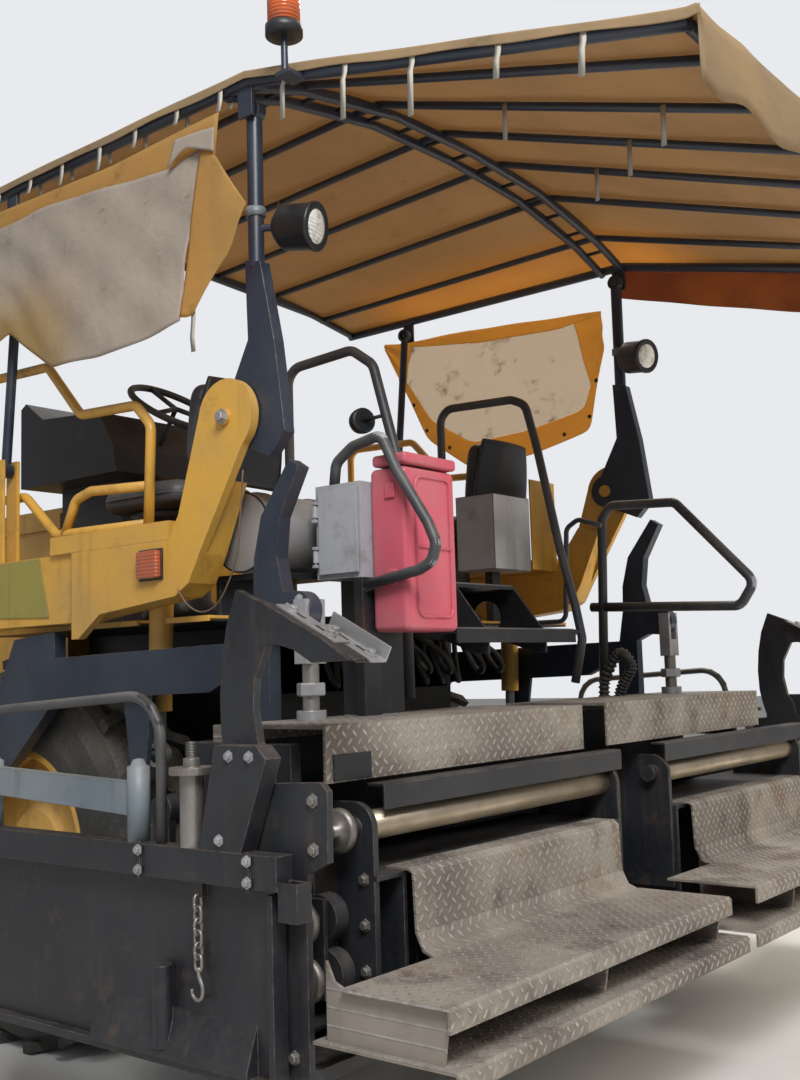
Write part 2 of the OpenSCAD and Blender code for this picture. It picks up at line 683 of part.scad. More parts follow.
// One row of the canvas at a station along X, from one valance's hem over the roof to the other
function canvas_row(x, t) = concat([[x, canvas_y[0] - t, canvas_z(x, canvas_side) - hem]],
  [for (y = canvas_y) [x, y + (abs(y) > 1200 ? sign(y) * t : 0), canvas_z(x, y) + t]],
  [[x, canvas_y[7] + t, canvas_z(x, canvas_side) - hem]]);
module roof_canvas() {
  rows = len(canvas_x);
  cols = len(canvas_y) + 2;
  top = [for (x = canvas_x) canvas_row(x, canvas_t)];
  low = [for (x = canvas_x) canvas_row(x, 0)];
  pts = [for (r = top) each r, for (r = low) each r];
  m = rows * cols;
  color(ochre) {
    polyhedron(points = pts, faces = [for (f = concat(
      [for (i = [0 : rows - 2], j = [0 : cols - 2]) each [
        [i * cols + j, (i + 1) * cols + j, (i + 1) * cols + j + 1],
        [i * cols + j, (i + 1) * cols + j + 1, i * cols + j + 1],
        [m + i * cols + j, m + (i + 1) * cols + j + 1, m + (i + 1) * cols + j],
        [m + i * cols + j, m + i * cols + j + 1, m + (i + 1) * cols + j + 1]]],
      [for (i = [0 : rows - 2], e = [0, cols - 1]) each e == 0
        ? [[i * cols, m + i * cols, m + (i + 1) * cols], [i * cols, m + (i + 1) * cols, (i + 1) * cols]]
        : [[i * cols + e, m + (i + 1) * cols + e, m + i * cols + e],
           [i * cols + e, (i + 1) * cols + e, m + (i + 1) * cols + e]]],
      [for (j = [0 : cols - 2], e = [0, rows - 1]) each e == 0
        ? [[j, j + 1, m + j + 1], [j, m + j + 1, m + j]]
        : [[e * cols + j, m + e * cols + j + 1, e * cols + j + 1],
           [e * cols + j, m + e * cols + j, m + e * cols + j + 1]]])) [f[2], f[1], f[0]]]);
    slab([canvas_x[0] - 6, canvas_x[0] - 0.3], [-1270, 1270], [canvas_z(roof_back, 0) - valance, canvas_z(roof_back, 0)]);
  }
}

curtain_y = [1297, 1303];
module curtain(side) {
  outline = side > 0
    ? [[-1480, 3338], [-1515, 2870], [-1190, 2575], [-450, 2545], [roof_front, 2560], [roof_front, 3338]]
    : [[-1380, 3338], [-1340, 2760], [-1150, 2590], [-100, 2600], [roof_front, 2800], [roof_front, 3338]];
  color(side > 0 ? [0.6, 0.57, 0.53] : yellow) on_side(side) {
    side_cut(curtain_y, outline);
    slab([-1380, roof_front], [roof_half + 17.7, curtain_y[1]], [roof_z - 12, roof_z - 8]);
  }
}

// Screed lift

lift_top = [-850, 1720];
lift_eye = [-830, 1130];
lift_lean = atan2(lift_eye[0] - lift_top[0], lift_top[1] - lift_eye[1]);
lift_y = 1100;
module on_lift() {
  both_sides() translate([lift_top[0], lift_y, lift_top[1]]) rotate([0, 180 - lift_lean, 0]) children();
}
module lift_barrels() {
  color(yellow) on_lift() difference() {
    union() {
      z_bar([25, 440], 0, 0, 42);
      rotate([90, 0, 0]) translate([0, 0, -25]) cylinder(h = 50, r = 32);
    }
    z_bar([60, 441], 0, 0, 22 + fit);
    rotate([90, 0, 0]) translate([0, 0, -26]) cylinder(h = 52, r = 15 + fit);
  }
}
module lift_rods() {
  reach = norm([lift_eye[0] - lift_top[0], lift_eye[1] - lift_top[1]]);
  color(steel) on_lift() difference() {
    union() {
      z_bar([70, reach - 20], 0, 0, 22);
      translate([0, 0, reach]) rotate([90, 0, 0]) translate([0, 0, -20]) cylinder(h = 40, r = 42);
    }
    translate([0, 0, reach]) rotate([90, 0, 0]) translate([0, 0, -21]) cylinder(h = 42, r = 27);
  }
}

// Screed

arm_y = [1175, 1225];
spindle_x = -1650;
module tow_arms() {
  color(navy) both_sides() {
    difference() {
      union() {
        side_cut(arm_y, [[-1226, 1345], [-1400, 1420], [-1400, 1205], [-1500, 1205], [-1500, 1500],
          [-1560, 1528], [-1620, 1523], [-1620, 1647], [-1565, 1650], [-1540, 1756], [-1556, 1880],
          [-1640, 2030], [-1600, 2056], [-1475, 1890], [-1440, 1756], [-1435, 1640], [-1410, 1500],
          [-1226, 1497], [-395, 1479], [-395, 1575], [-142, 1555], [-60, 1400],
          [tow_x - 20, tow_z + 78], [tow_x - 20, tow_z - 78], [-142, 1103], [-395, 1326]]);
        y_bar(arm_y, tow_x, tow_z, 80);
        y_bar(arm_y, spindle_x + 30, 1585, 62);
      }
      y_bar([arm_y[0] - 1, arm_y[1] + 1], tow_x, tow_z, tow_pin_r + fit);
    }
    side_cut([arm_y[0], arm_y[0] + 20], [[lift_eye[0] - 80, 1350], [lift_eye[0] + 80, 1350],
      [lift_eye[0] + 40, lift_eye[1] - 35], [lift_eye[0] - 40, lift_eye[1] - 35]]);
    y_bar([lift_y - 22, arm_y[0] + 1], lift_eye[0], lift_eye[1], 16);
  }
}

module spindles() {
  color(grey) both_sides() {
    z_bar([deck_z, deck_z + 30], spindle_x, 1200, 45);
    z_bar([deck_z + 30, 1440], spindle_x, 1200, 24);
    z_bar([1330, 1365], spindle_x, 1200, 38);
    for (y = [[1157, arm_y[0]], [arm_y[1], 1243]])
      slab([spindle_x - 25, spindle_x + 25], y, [1430, 1620]);
    slab([spindle_x - 25, spindle_x + 25], [1157, 1243], [1425, 1500]);
  }
}

module screed_frame() {
  color(dark) {
    slab([-1560, -1400], [-screed_half, screed_half], [980, 1205]);
    slab([-1400, -1385], [-screed_half, screed_half], [sole_z + 35, 1100]);
    slab([-1600, -1400], [-screed_half, screed_half], [sole_z, sole_z + 175]);
    both_sides() {
      slab([-1600, -1400], [screed_half - 30, screed_half], [sole_z, 1000]);
      slab([-1830, -1400], [screed_half - 40, screed_half], [1060, 1205]);
    }
    slab([guide_at[0], -1550], [-screed_half + 40, screed_half - 40], [guide_at[1] - 7, guide_at[1] + 9]);
    y_bar([-screed_half + 40, screed_half - 40], guide_at[0], guide_at[1], guide_r);
  }
}

module screed_deck() {
  color(tread) for (y = [[100, screed_half - 20], [-screed_half + 10, -70]]) {
    side_cut(y, [[-1500, deck_z - 10], [-1500, deck_z], [deck_back, deck_z], [deck_back, 1100],
      [deck_back + 8, 1100], [deck_back + 8, deck_z - 10]]);
    slab([-1560, -1500], y, [1205, deck_z - 10]);
  }
}

guide_at = [-1765, 975];
hub_at = [-1950, 975];
// Outline of a carrier bracket: a plate with a round top over the bright tube's hub
module bracket(y) {
  difference() {
    union() {
      slab([-2020, -1690], [y, y + 20], [550, 975]);
      y_bar([y, y + 20], hub_at[0], hub_at[1], 70);
      slab([-1950, guide_at[0]], [y, y + 20], [975, 1045]);
      y_bar([y, y + 20], guide_at[0], guide_at[1], 75);
    }
    y_bar([y - 1, y + 21], guide_at[0], guide_at[1], guide_r + fit);
    slab([guide_at[0], guide_at[0] + 76], [y - 1, y + 21], [guide_at[1] - 14, guide_at[1] + 16]);
  }
}

ext_y = [30, screed_half + 140];
bracket_out = ext_y[1] - 275;
module extension(side) {
  shift = side > 0 ? 0 : right_out;
  on_side(side) translate([0, shift, 0]) {
    color(dark) {
      for (y = [0, bracket_out]) bracket(y);
      slab([-1800, -1620], ext_y, [sole_z, 852]);
      slab([-2030, -1790], [ext_y[0], ext_y[1]], [sole_z, sole_z + 35]);
      slab([-2030, -1790], [ext_y[0], bracket_out + 20], [838, 852]);
      for (y = [ext_y[0], 500, 900, 1240]) slab([-2030, -1790], [y, y + 14], [sole_z + 30, 845]);
      for (p = [[-1895, 745, 62], [-1910, 600, 66], [-1860, 660, 40]]) {
        y_bar([1254, 1500], p[0], p[1], 20);
        y_bar([1400, 1450], p[0], p[1], p[2]);
      }
      y_bar([1254, ext_y[1]], -1870, 470, 22);
      slab([-1930, -1800], [1455, 1470], [540, 800]);
      slab([-2030, -1420], [ext_y[1], ext_y[1] + 20], [sole_z + 15, 850]);
      side_cut([ext_y[1], ext_y[1] + 20], [[-1700, 845], [-1700, 1102], [-1950, 1120], [-2085, 1126],
        [-2108, 1105], [-2105, 930], [-2040, 900], [-2025, 845]]);
      for (x = [-1500, -1780]) slab([x, x + 40], [ext_y[1] + 20, gate_y - touch], [450, 800]);
    }
    color(steel) {
      y_bar([20, bracket_out], hub_at[0], hub_at[1], bright_r);
      for (y = [-40, bracket_out + 20]) y_bar([y, y + 40], hub_at[0], hub_at[1], 30);
    }
    color(tread) side_cut([side > 0 ? -40 : 5, side > 0 ? 1300 : 1460], [[-1950, 1082], [-1950, 1090], [-2005, 1090],
      [-2010, 1085], [-2010, 1020], [-2003, 1020], [-2003, 1082]]);
    color(navy) {
      side_cut([ext_y[1], ext_y[1] + 25], [[-1771, 1095], [-1747, 1180], [-1735, 1243], [-1732, 1339],
        [-1741, 1435], [-1761, 1531], [-1799, 1625], [-1901, 1584], [-2030, 1519], [-2096, 1488],
        [-2195, 1426], [-2069, 1423], [-2007, 1458], [-1942, 1476], [-1909, 1474], [-1864, 1385],
        [-1858, 1307], [-1874, 1221], [-1904, 1176], [-1912, 1138], [-1914, 1100]]);
      side_cut([ext_y[1] - 45, ext_y[1]], [[-1901, 1584], [-2195, 1430], [-2195, 1420], [-1905, 1572]]);
    }
  }
}

module walkway(side) {
  shift = side > 0 ? 0 : right_out;
  up_in = side > 0 ? 90 : 120 - right_out;
  low_in = side > 0 ? 10 : 60 - right_out;
  color(tread) on_side(side) translate([0, shift, 0]) {
    side_cut([100, 1250], [[-1965, 860], [-2045, 860], [-2064, 844], [-2070, 690], [-2092, 646],
      [-2125, walk_z], [-2140, walk_z], [-2140, walk_z - 8], [-2123, walk_z - 8], [-2086, 640],
      [-2062, 688], [-2056, 846], [-2043, 852], [-1965, 852]]);
    side_cut([up_in, ext_y[1] + 10], [[-2125, walk_z], [-2450, walk_z], [-2458, walk_z - 8],
      [-2458, walk_z - 57], [-2450, walk_z - 57], [-2450, walk_z - 8], [-2125, walk_z - 8]]);
    side_cut([low_in, ext_y[1] + 10], [[-2031, low_walk_z], [-2470, low_walk_z], [-2478, low_walk_z - 8],
      [-2478, low_walk_z - 50], [-2470, low_walk_z - 50], [-2470, low_walk_z - 8],
      [-2031, low_walk_z - 8]]);
    for (y = [130, 860, ext_y[1] - 20]) side_cut([y, y + 10], [[-2062, low_walk_z], [-2420, low_walk_z],
      [-2440, walk_z - 8], [-2123, walk_z - 8], [-2086, 640], [-2062, 688]]);
  }
}

gate_y = ext_y[1] + 30;
gate_front = -640;
module end_gate(side) {
  shift = side > 0 ? 0 : right_out;
  g = gate_y;
  color(dark) on_side(side) translate([0, shift, 0]) {
    slab([-1950, gate_front], [g, g + 20], [395, 864]);
    slab([-1960, gate_front], [g, g + 45], [372, 395]);
    slab([-1968, -1950], [g, g + 50], [395, 850]);
    slab([-1995, gate_front], [g, g + 60], [862, 947]);
    for (x = [-1905, -1480]) slab([x, x + 12], [g + 60, g + 66], [856, 953]);
    along_x([-1880, -1250], [[g + 20, 395], [g + 60, 395], [g + 60, 412], [g + 20, 520]]);
    z_bar([420, 632], -1545, g + 45, 27);
    slab([-1700, -1670], [g + 20, g + 40], [820, 862]);
    z_bar([947, 1138], -1655, g + 30, 32);
    z_bar([1138, 1156], -1655, g + 30, 60);
    z_bar([1156, 1222], -1655, g + 30, 13);
    z_bar([1156, 1178], -1655, g + 30, 22);
    tube(at_y(g + 30, [[-1531, 946], [-1528, 1354], [-665, 1306], [-660, 946]]), 14, 120);
    side_cut([g + 12, g + 48], [[-1405, 1108], [-1405, 1019], [-720, 1052], [-720, 1134]]);
    for (x = [-1433, -720]) z_bar([947, 1152], x, g + 30, 31);
    z_bar([1152, 1170], -1433, g + 30, 15);
    for (y = [g + 2, g + 50])
      side_cut([y, y + 8], [[-1712, 947], [-1868, 947], [-1964, 1185], [-1930, 1218], [-1775, 1218]]);
    side_cut([g + 2, g + 58], [[-1856, 947], [-1868, 947], [-1964, 1185], [-1930, 1218], [-1775, 1218],
      [-1775, 1208], [-1928, 1208], [-1950, 1184]]);
    for (y = [g + 5, g + 47]) slab([-2060, -1995], [y, y + 8], [790, 885]);
    slab([-2060, -2052], [g + 5, g + 55], [790, 885]);
  }
}

// Equipment on the deck

module control_cabinet() {
  color(grey) {
    slab([-1650, -1455], [640, 948], [1700, 2012]);
    for (z = [1740, 1800, 1890, 1950]) slab([-1472, -1456], [947, 972], [z, z + 10]);
    for (z = [1740, 1890]) z_bar([z, z + 70], door_hinge[0], door_hinge[1], 5);
    slab([-1650, -1612], [870, 948], [deck_z, 1700]);
  }
  color(dark) {
    slab([-1610, -1480], [700, 860], [deck_z, 1700]);
    tube(at_y(930, [[-1524, 2012], [-1534, 2085], [-1607, 2131], [-1730, 2153], [-1785, 2039],
      [-1908, 1851], [-1938, 1784], [-1919, 1729], [-1870, 1707], [-1640, 1668]]), 17, 28);
    tube(at_y(-950, [[-1440, 1206], [-1473, 2052], [-1518, 2110], [-1834, 2091], [-2176, 1720],
      [-2109, 1623], [-1400, 1655]]), 20, 40);
  }
}

module locker_box() {
  color([0.80, 0.36, 0.42]) {
    difference() {
      slab([-1800, -1650], [632, 905], [1520, 2050]);
      slab([-1801, -1790], [667, 850], [1566, 2020]);
    }
    for (y = [650, 740]) slab([-1658, -1630], [y, y + 10], [2024, 2074]);
    y_bar([650, 750], lid_hinge[0], lid_hinge[1], 5);
  }
}

lid_hinge = [-1640, 2064];
module locker_lid() {
  color([0.80, 0.36, 0.42]) difference() {
    union() {
      slab([-1806, -1664], [627, 905], [2056, 2094]);
      y_bar([666, 734], lid_hinge[0], lid_hinge[1], 11);
      slab([-1665, lid_hinge[0]], [666, 734], [2066, 2075]);
    }
    y_bar([665, 735], lid_hinge[0], lid_hinge[1], 5 + fit);
  }
}

door_hinge = [-1464, 964];
module cabinet_door() {
  color(grey) difference() {
    union() {
      slab([-1644, -1476], [954, 962], [1716, 1996]);
      for (z = [1756, 1906]) {
        z_bar([z, z + 38], door_hinge[0], door_hinge[1], 9);
        slab([-1478, door_hinge[0]], [954, 962], [z, z + 38]);
      }
    }
    for (z = [1755, 1905]) z_bar([z, z + 40], door_hinge[0], door_hinge[1], 5 + fit);
  }
}

main_frame();
rear_drives();
front_axles();
side_tanks();
engine_cowl();
engine_block();
hopper_apron();
conveyor();
push_beam();
auger_carrier();
platform();
swan_necks();
operator_seats();
console();
hand_rails();
exhaust();
rear_lockers();
rear_rails();
rear_rim(1);  // rear_rim_left
rear_rim(-1);  // rear_rim_right
rear_tyre(1);  // rear_tyre_left
rear_tyre(-1);  // rear_tyre_right
knuckle(front_axles_x[0], 1);  // knuckle_1_left
knuckle(front_axles_x[0], -1);  // knuckle_1_right
knuckle(front_axles_x[1], 1);  // knuckle_2_left
knuckle(front_axles_x[1], -1);  // knuckle_2_right
front_wheel(front_axles_x[0], 1);  // front_wheel_1_left
front_wheel(front_axles_x[0], -1);  // front_wheel_1_right
front_wheel(front_axles_x[1], 1);  // front_wheel_2_left
front_wheel(front_axles_x[1], -1);  // front_wheel_2_right
hopper_wing(1);  // hopper_wing_left
hopper_wing(-1);  // hopper_wing_right
push_roller(1);  // push_roller_left
push_roller(-1);  // push_roller_right
auger(1);  // auger_left
auger(-1);  // auger_right
hood_lid();
rear_masts();
front_masts();
roof_frame();
roof_canvas();
curtain(1);  // curtain_left
curtain(-1);  // curtain_right
lift_barrels();
lift_rods();
tow_arms();
screed_frame();
screed_deck();
spindles();
control_cabinet();
cabinet_door();
locker_box();
locker_lid();
extension(1);  // extension_left
extension(-1);  // extension_right
walkway(1);  // walkway_left
walkway(-1);  // walkway_right
end_gate(1);  // end_gate_left
end_gate(-1);  // end_gate_right
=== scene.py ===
# %% [markdown]
# # An asphalt paver, seen from its raised screed
# A paver takes hot mix in a hopper at the front, carries it back through the chassis and spreads it under
# a wide, heavy screed at the rear. The solids of this machine come ready made, in one frame: X forward,
# Y to the left, Z up, in metres. This lesson dresses them: it gives every plate its worn finish and adds
# what is soft, thin or small, such as the canopy's canvas, hoses, tread, bolts and lamps.

# %% Load the solids
import json
import math

import bpy
import numpy as np
from mathutils import Matrix, Vector


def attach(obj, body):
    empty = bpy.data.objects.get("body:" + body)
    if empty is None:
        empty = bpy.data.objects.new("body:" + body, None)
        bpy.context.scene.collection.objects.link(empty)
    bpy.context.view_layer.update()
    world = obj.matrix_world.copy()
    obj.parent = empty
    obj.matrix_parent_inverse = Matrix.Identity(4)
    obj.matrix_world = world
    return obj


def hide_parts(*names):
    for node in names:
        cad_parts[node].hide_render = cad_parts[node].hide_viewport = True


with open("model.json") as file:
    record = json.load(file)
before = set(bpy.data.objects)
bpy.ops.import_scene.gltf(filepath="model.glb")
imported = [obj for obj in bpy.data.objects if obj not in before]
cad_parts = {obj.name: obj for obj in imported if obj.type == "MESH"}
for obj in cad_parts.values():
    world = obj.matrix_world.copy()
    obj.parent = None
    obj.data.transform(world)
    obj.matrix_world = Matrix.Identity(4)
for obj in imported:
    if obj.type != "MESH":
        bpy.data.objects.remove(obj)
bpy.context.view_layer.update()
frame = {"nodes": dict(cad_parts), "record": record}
nodes = frame["nodes"]

# %% [markdown]
# ## The camera
# The picture was taken at eye height behind the left rear corner, with a wide lens held almost level.
# Its place and aim were worked out from the machine's own straight edges, which are known to run along
# X, Y and Z. A camera's matrix holds its right, up and backward directions in its columns.

# %% Stand the camera behind the left rear corner
camera = bpy.data.objects.new("camera", bpy.data.cameras.new("camera"))
bpy.context.scene.collection.objects.link(camera)
right, up, back = (-0.77863, -0.62676, -0.03009), (-0.09042, 0.06461, 0.99381), (-0.62093, 0.77653, -0.10698)
camera.matrix_world = Matrix([
    (right[0], up[0], back[0], -4.15),
    (right[1], up[1], back[1], 3.875),
    (right[2], up[2], back[2], 1.40),
    (0, 0, 0, 1)])
camera.data.lens = 40.06
camera.data.sensor_width = 36
camera.data.clip_end = 200
bpy.context.scene.camera = camera
print("camera at", [round(v, 2) for v in camera.matrix_world.translation], "lens", camera.data.lens)

# %% [markdown]
# ## Surfaces worked out with numpy
# A piece of sheet metal, a tube or a canvas is a grid of points: rows along one parameter, columns along
# the other. When the whole grid is an array, its faces follow from the row and column numbers alone, so
# one helper turns any such grid into a mesh. Each piece rides on one body of the machine.

# %% [markdown]
# Neighbours in a grid are joined by quads. Where the grid goes round, as on a tube, the last column is
# joined to the first and caps close the two ends. A sheet gets its wall from a Solidify modifier, which
# keeps the grid itself simple.

# %% From a grid of points to a mesh
def grid_faces(rows, columns, around, first=0):
    """Quads between neighbours in a grid; around joins the last column to the first."""
    i = np.arange(rows - 1)[:, None]
    j = np.arange(columns if around else columns - 1)[None, :]
    k = (j + 1) % columns
    quads = np.stack([i * columns + j, i * columns + k, (i + 1) * columns + k, (i + 1) * columns + j], -1)
    return (quads.reshape(-1, 4) + first).tolist()


def piece(name, points, faces, finish, body, smooth=True, slot=None, uv=None):
    """A mesh object from points and faces that rides on a body; uv is one pair of numbers a point."""
    mesh = bpy.data.meshes.new(name)
    mesh.from_pydata(np.asarray(points, float).tolist(), [], faces)
    mesh.update()
    if uv is not None:
        corner = np.zeros(len(mesh.loops), np.int32)
        mesh.loops.foreach_get("vertex_index", corner)
        layer = mesh.uv_layers.new(name="cloth")
        layer.data.foreach_set("uv", np.asarray(uv, float)[corner].ravel())
    mesh.polygons.foreach_set("use_smooth", np.full(len(mesh.polygons), smooth))
    mesh.materials.append(finish)
    made = bpy.data.objects.new(name, mesh)
    bpy.context.scene.collection.objects.link(made)
    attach(made, body)
    return made


def thicken(made, thickness, offset=-1):
    """A wall grown from a sheet: to its inner side, or half to each side where offset is 0."""
    wall = made.modifiers.new("thickness", "SOLIDIFY")
    wall.thickness = thickness
    wall.offset = offset


def grid_piece(name, points, finish, body, around=False, caps=False, **more):
    """A piece from an array of rows x columns x 3; caps close the first and the last row."""
    rows, columns, _ = points.shape
    faces = grid_faces(rows, columns, around)
    if caps:
        faces += [list(range(columns))[::-1], list(range((rows - 1) * columns, rows * columns))]
    return piece(name, points.reshape(-1, 3), faces, finish, body, **more)


print("a tube of 3 rings with 4 sides has", len(grid_faces(3, 4, True)), "quads")

# %% [markdown]
# Tubes are the other half of this machine: rails, masts, rafters, hoses. A tube is a circle carried along
# a path. At each point of the path two directions square to it are needed. They come from one reference
# direction that the path never runs along, so the whole tube is a few array products.

# %% Rounded paths and tubes along them
def unit(v):
    """Directions of length 1, from vectors along the last axis."""
    return v / np.linalg.norm(v, axis=-1, keepdims=True)


def rounded(points, bend, steps=6):
    """The corners of a path turned into arcs of radius bend; each arc is a quarter or less of a circle."""
    p = np.asarray(points, float)
    out = [p[0][None]]
    for a, b, c in zip(p[:-2], p[1:-1], p[2:]):
        into, off = unit(b - a), unit(c - b)
        turn = math.acos(np.clip(into @ off, -1, 1))
        if turn < 0.05:
            out.append(b[None])
            continue
        reach = min(bend * math.tan(turn / 2), 0.49 * np.linalg.norm(b - a), 0.49 * np.linalg.norm(c - b))
        radius = reach / math.tan(turn / 2)
        inward = unit(off - (into @ off) * into)
        t = np.linspace(0, turn, steps + 1)[:, None]
        out.append(b - reach * into + radius * (np.sin(t) * into + (1 - np.cos(t)) * inward))
    return np.vstack(out + [p[-1][None]])


def flowing(points, count=40):
    """A smooth curve through points, as a slack hose takes: cubic between neighbours, with their slopes."""
    p = np.asarray(points, float)
    p = np.vstack([2 * p[0] - p[1], p, 2 * p[-1] - p[-2]])
    t = np.linspace(0, len(p) - 3 - 1e-9, count)
    k = t.astype(int)
    u = (t - k)[:, None]
    a, b, c, d = p[k], p[k + 1], p[k + 2], p[k + 3]
    return 0.5 * (2 * b + (c - a) * u + (2 * a - 5 * b + 4 * c - d) * u**2 + (3 * b - a - 3 * c + d) * u**3)


def circles(path, radius, sides):
    """A circle of that radius round each point of a path, square to it; radius may change along it."""
    path = np.asarray(path, float)
    along = unit(np.gradient(path, axis=0))
    axes = np.eye(3)
    reference = axes[np.argmin(np.abs(along @ axes).max(0))]
    side = unit(np.cross(along, reference))
    over = np.cross(along, side)
    a = np.linspace(0, 2 * np.pi, sides, endpoint=False)[None, :, None]
    size = np.broadcast_to(np.asarray(radius, float), len(path))[:, None, None]
    return path[:, None] + size * (np.cos(a) * side[:, None] + np.sin(a) * over[:, None])


def tubes(name, paths, radius, finish, body, sides=12, **more):
    """Closed tubes along several paths, as one piece."""
    points, faces, first = [], [], 0
    for path in paths:
        ring = circles(path, radius, sides)
        rows = len(ring)
        faces += grid_faces(rows, sides, True, first)
        faces += [list(range(first, first + sides))[::-1],
                  list(range(first + (rows - 1) * sides, first + rows * sides))]
        points.append(ring.reshape(-1, 3))
        first += rows * sides
    return piece(name, np.vstack(points), faces, finish, body, **more)


print("a rounded corner has", len(rounded([(0, 0, 0), (1, 0, 0), (1, 1, 0)], 0.2)), "points")

# %% [markdown]
# Bolts, hubs, lamps and caps are turned shapes: a profile of radii and heights carried round an axis.
# One helper makes many copies at once, because the same profile stands at several places.

# %% Turned pieces at several places
lengthways, sideways, upright = (1, 0, 0), (0, 1, 0), (0, 0, 1)


def frame_of(axis):
    """Two directions square to an axis, and the axis, as the rows of a matrix."""
    axis = unit(np.asarray(axis, float))
    helper = np.eye(3)[np.argmin(np.abs(axis))]
    side = unit(np.cross(axis, helper))
    return np.stack([side, np.cross(axis, side), axis])


def turned(name, profile, places, axis, finish, body, sides=16, **more):
    """profile is pairs of radius and height; it is carried round axis at every one of the places."""
    profile = np.asarray(profile, float)
    base = frame_of(axis)
    a = np.linspace(0, 2 * np.pi, sides, endpoint=False)
    ring = np.stack([profile[:, :1] * np.cos(a), profile[:, :1] * np.sin(a),
                     np.repeat(profile[:, 1:], sides, 1)], -1) @ base
    rows = len(profile)
    places = np.atleast_2d(np.asarray(places, float))
    points = (places[:, None, None] + ring[None]).reshape(-1, 3)
    one = np.asarray(grid_faces(rows, sides, True))
    starts = np.arange(len(places)) * rows * sides
    faces = (one[None] + starts[:, None, None]).reshape(-1, 4).tolist()
    bottom = np.arange(sides)[::-1]
    top = np.arange(sides) + (rows - 1) * sides
    faces += [(bottom + s).tolist() for s in starts] + [(top + s).tolist() for s in starts]
    return piece(name, points, faces, finish, body, **more)


def bolts(name, places, axis, size, finish, body, **more):
    """Hexagon heads on washers; size is the head's width. The six-sided ring's flats are flat shaded."""
    r, h = size * 0.577, size * 0.62
    profile = [(size * 0.85, -0.001), (size * 0.85, size * 0.14), (r, size * 0.14), (r, h * 0.85),
               (r * 0.86, h)]
    return turned(name, profile, places, axis, finish, body, sides=6, smooth=False, **more)


print("an upright axis has its sides along", [row.tolist() for row in frame_of(upright)[:2]])

# %% [markdown]
# ## Shader maths in plain Python
# A material is a net of nodes. Written node by node, even a small formula is long, so a wrapped socket
# takes part in ordinary Python sums: each operator adds the Math node that it stands for. Every other
# node comes from one method that takes its type, its settings and what goes into its sockets.

# %% A socket that can be used in sums
class Value:
    """A shader socket; arithmetic on it adds Math nodes to the material it belongs to."""

    def __init__(self, mix, socket):
        self.mix = mix
        self.socket = socket

    def maths(self, operation, *others):
        return self.mix.node("ShaderNodeMath", {"operation": operation},
                             {0: self, **dict(enumerate(others, 1))})

    def __add__(self, other):
        return self.maths("ADD", other)

    def __mul__(self, other):
        return self.maths("MULTIPLY", other)

    def __sub__(self, other):
        return self.maths("SUBTRACT", other)

    def __truediv__(self, other):
        return self.maths("DIVIDE", other)

    def __pow__(self, other):
        return self.maths("POWER", other)

    def __rsub__(self, other):
        return (self * -1) + other

    __radd__ = __add__
    __rmul__ = __mul__

    def clamp(self):
        return self.mix.node("ShaderNodeClamp", {}, {"Value": self})

    def ramp(self, low, high):
        """0 below low, 1 above high, smooth between; low may be above high to turn it over."""
        return self.mix.node("ShaderNodeMapRange", {"interpolation_type": "SMOOTHSTEP"},
                             {"Value": self, "From Min": low, "From Max": high})


class Mixture:
    """A material while it is written."""

    def __init__(self, name):
        self.material = bpy.data.materials.new(name)
        self.material.use_nodes = True
        self.tree = self.material.node_tree
        self.tree.nodes.clear()

    def node(self, kind, settings, sockets, output=0):
        made = self.tree.nodes.new(kind)
        for key, value in settings.items():
            setattr(made, key, value)
        for key, value in sockets.items():
            socket = made.inputs[key]
            if isinstance(value, Value):
                self.tree.links.new(value.socket, socket)
            else:
                socket.default_value = value
        return Value(self, made.outputs[output])

    def place(self):
        return self.node("ShaderNodeTexCoord", {}, {}, "Object")

    def part(self, vector, axis):
        return self.node("ShaderNodeSeparateXYZ", {}, {0: vector}, axis)

    def stretch(self, vector, scale):
        return self.node("ShaderNodeMapping", {}, {"Vector": vector, "Scale": scale})

    def noise(self, vector, scale, detail=4.0, rough=0.55):
        return self.node("ShaderNodeTexNoise", {},
                         {"Vector": vector, "Scale": scale, "Detail": detail, "Roughness": rough})

    def blend(self, amount, first, second):
        """A colour between two, by an amount from 0 to 1."""
        rgba = lambda c: c if isinstance(c, Value) else (*c, 1.0)
        return self.node("ShaderNodeMix", {"data_type": "RGBA"},
                         {0: amount, 6: rgba(first), 7: rgba(second)}, 2)

    def bump(self, height, distance, strength=1.0, normal=None):
        sockets = {"Height": height, "Distance": distance, "Strength": strength}
        if normal is not None:
            sockets["Normal"] = normal
        return self.node("ShaderNodeBump", {}, sockets)

    def finish(self, **looks):
        """The closing Principled shader; underscores in a name stand for spaces."""
        sockets = {}
        for key, value in looks.items():
            plain_colour = isinstance(value, tuple) and len(value) == 3 and "Color" in key
            sockets[key.replace("_", " ")] = (*value, 1.0) if plain_colour else value
        self.output(self.node("ShaderNodeBsdfPrincipled", {}, sockets))
        return self.material

    def output(self, shader):
        out = self.tree.nodes.new("ShaderNodeOutputMaterial")
        self.tree.links.new(shader.socket, out.inputs["Surface"])


print("a socket can be added, multiplied, taken away, divided and raised to a power")

# %% [markdown]
# ## Paint that has worked for years
# On the real machine no plate has one colour. Paint fades in large soft patches, dust lies on whatever
# faces up, grime runs down walls, and along edges the coat is chipped to dark steel with a rim of rust.
# All of these are masks between 0 and 1, laid over each other in the order in which they happened. The
# rounded normal of a Bevel node differs from the true one only near edges, which makes the chip mask and
# also gives each sharp edge the small highlight of a real one.

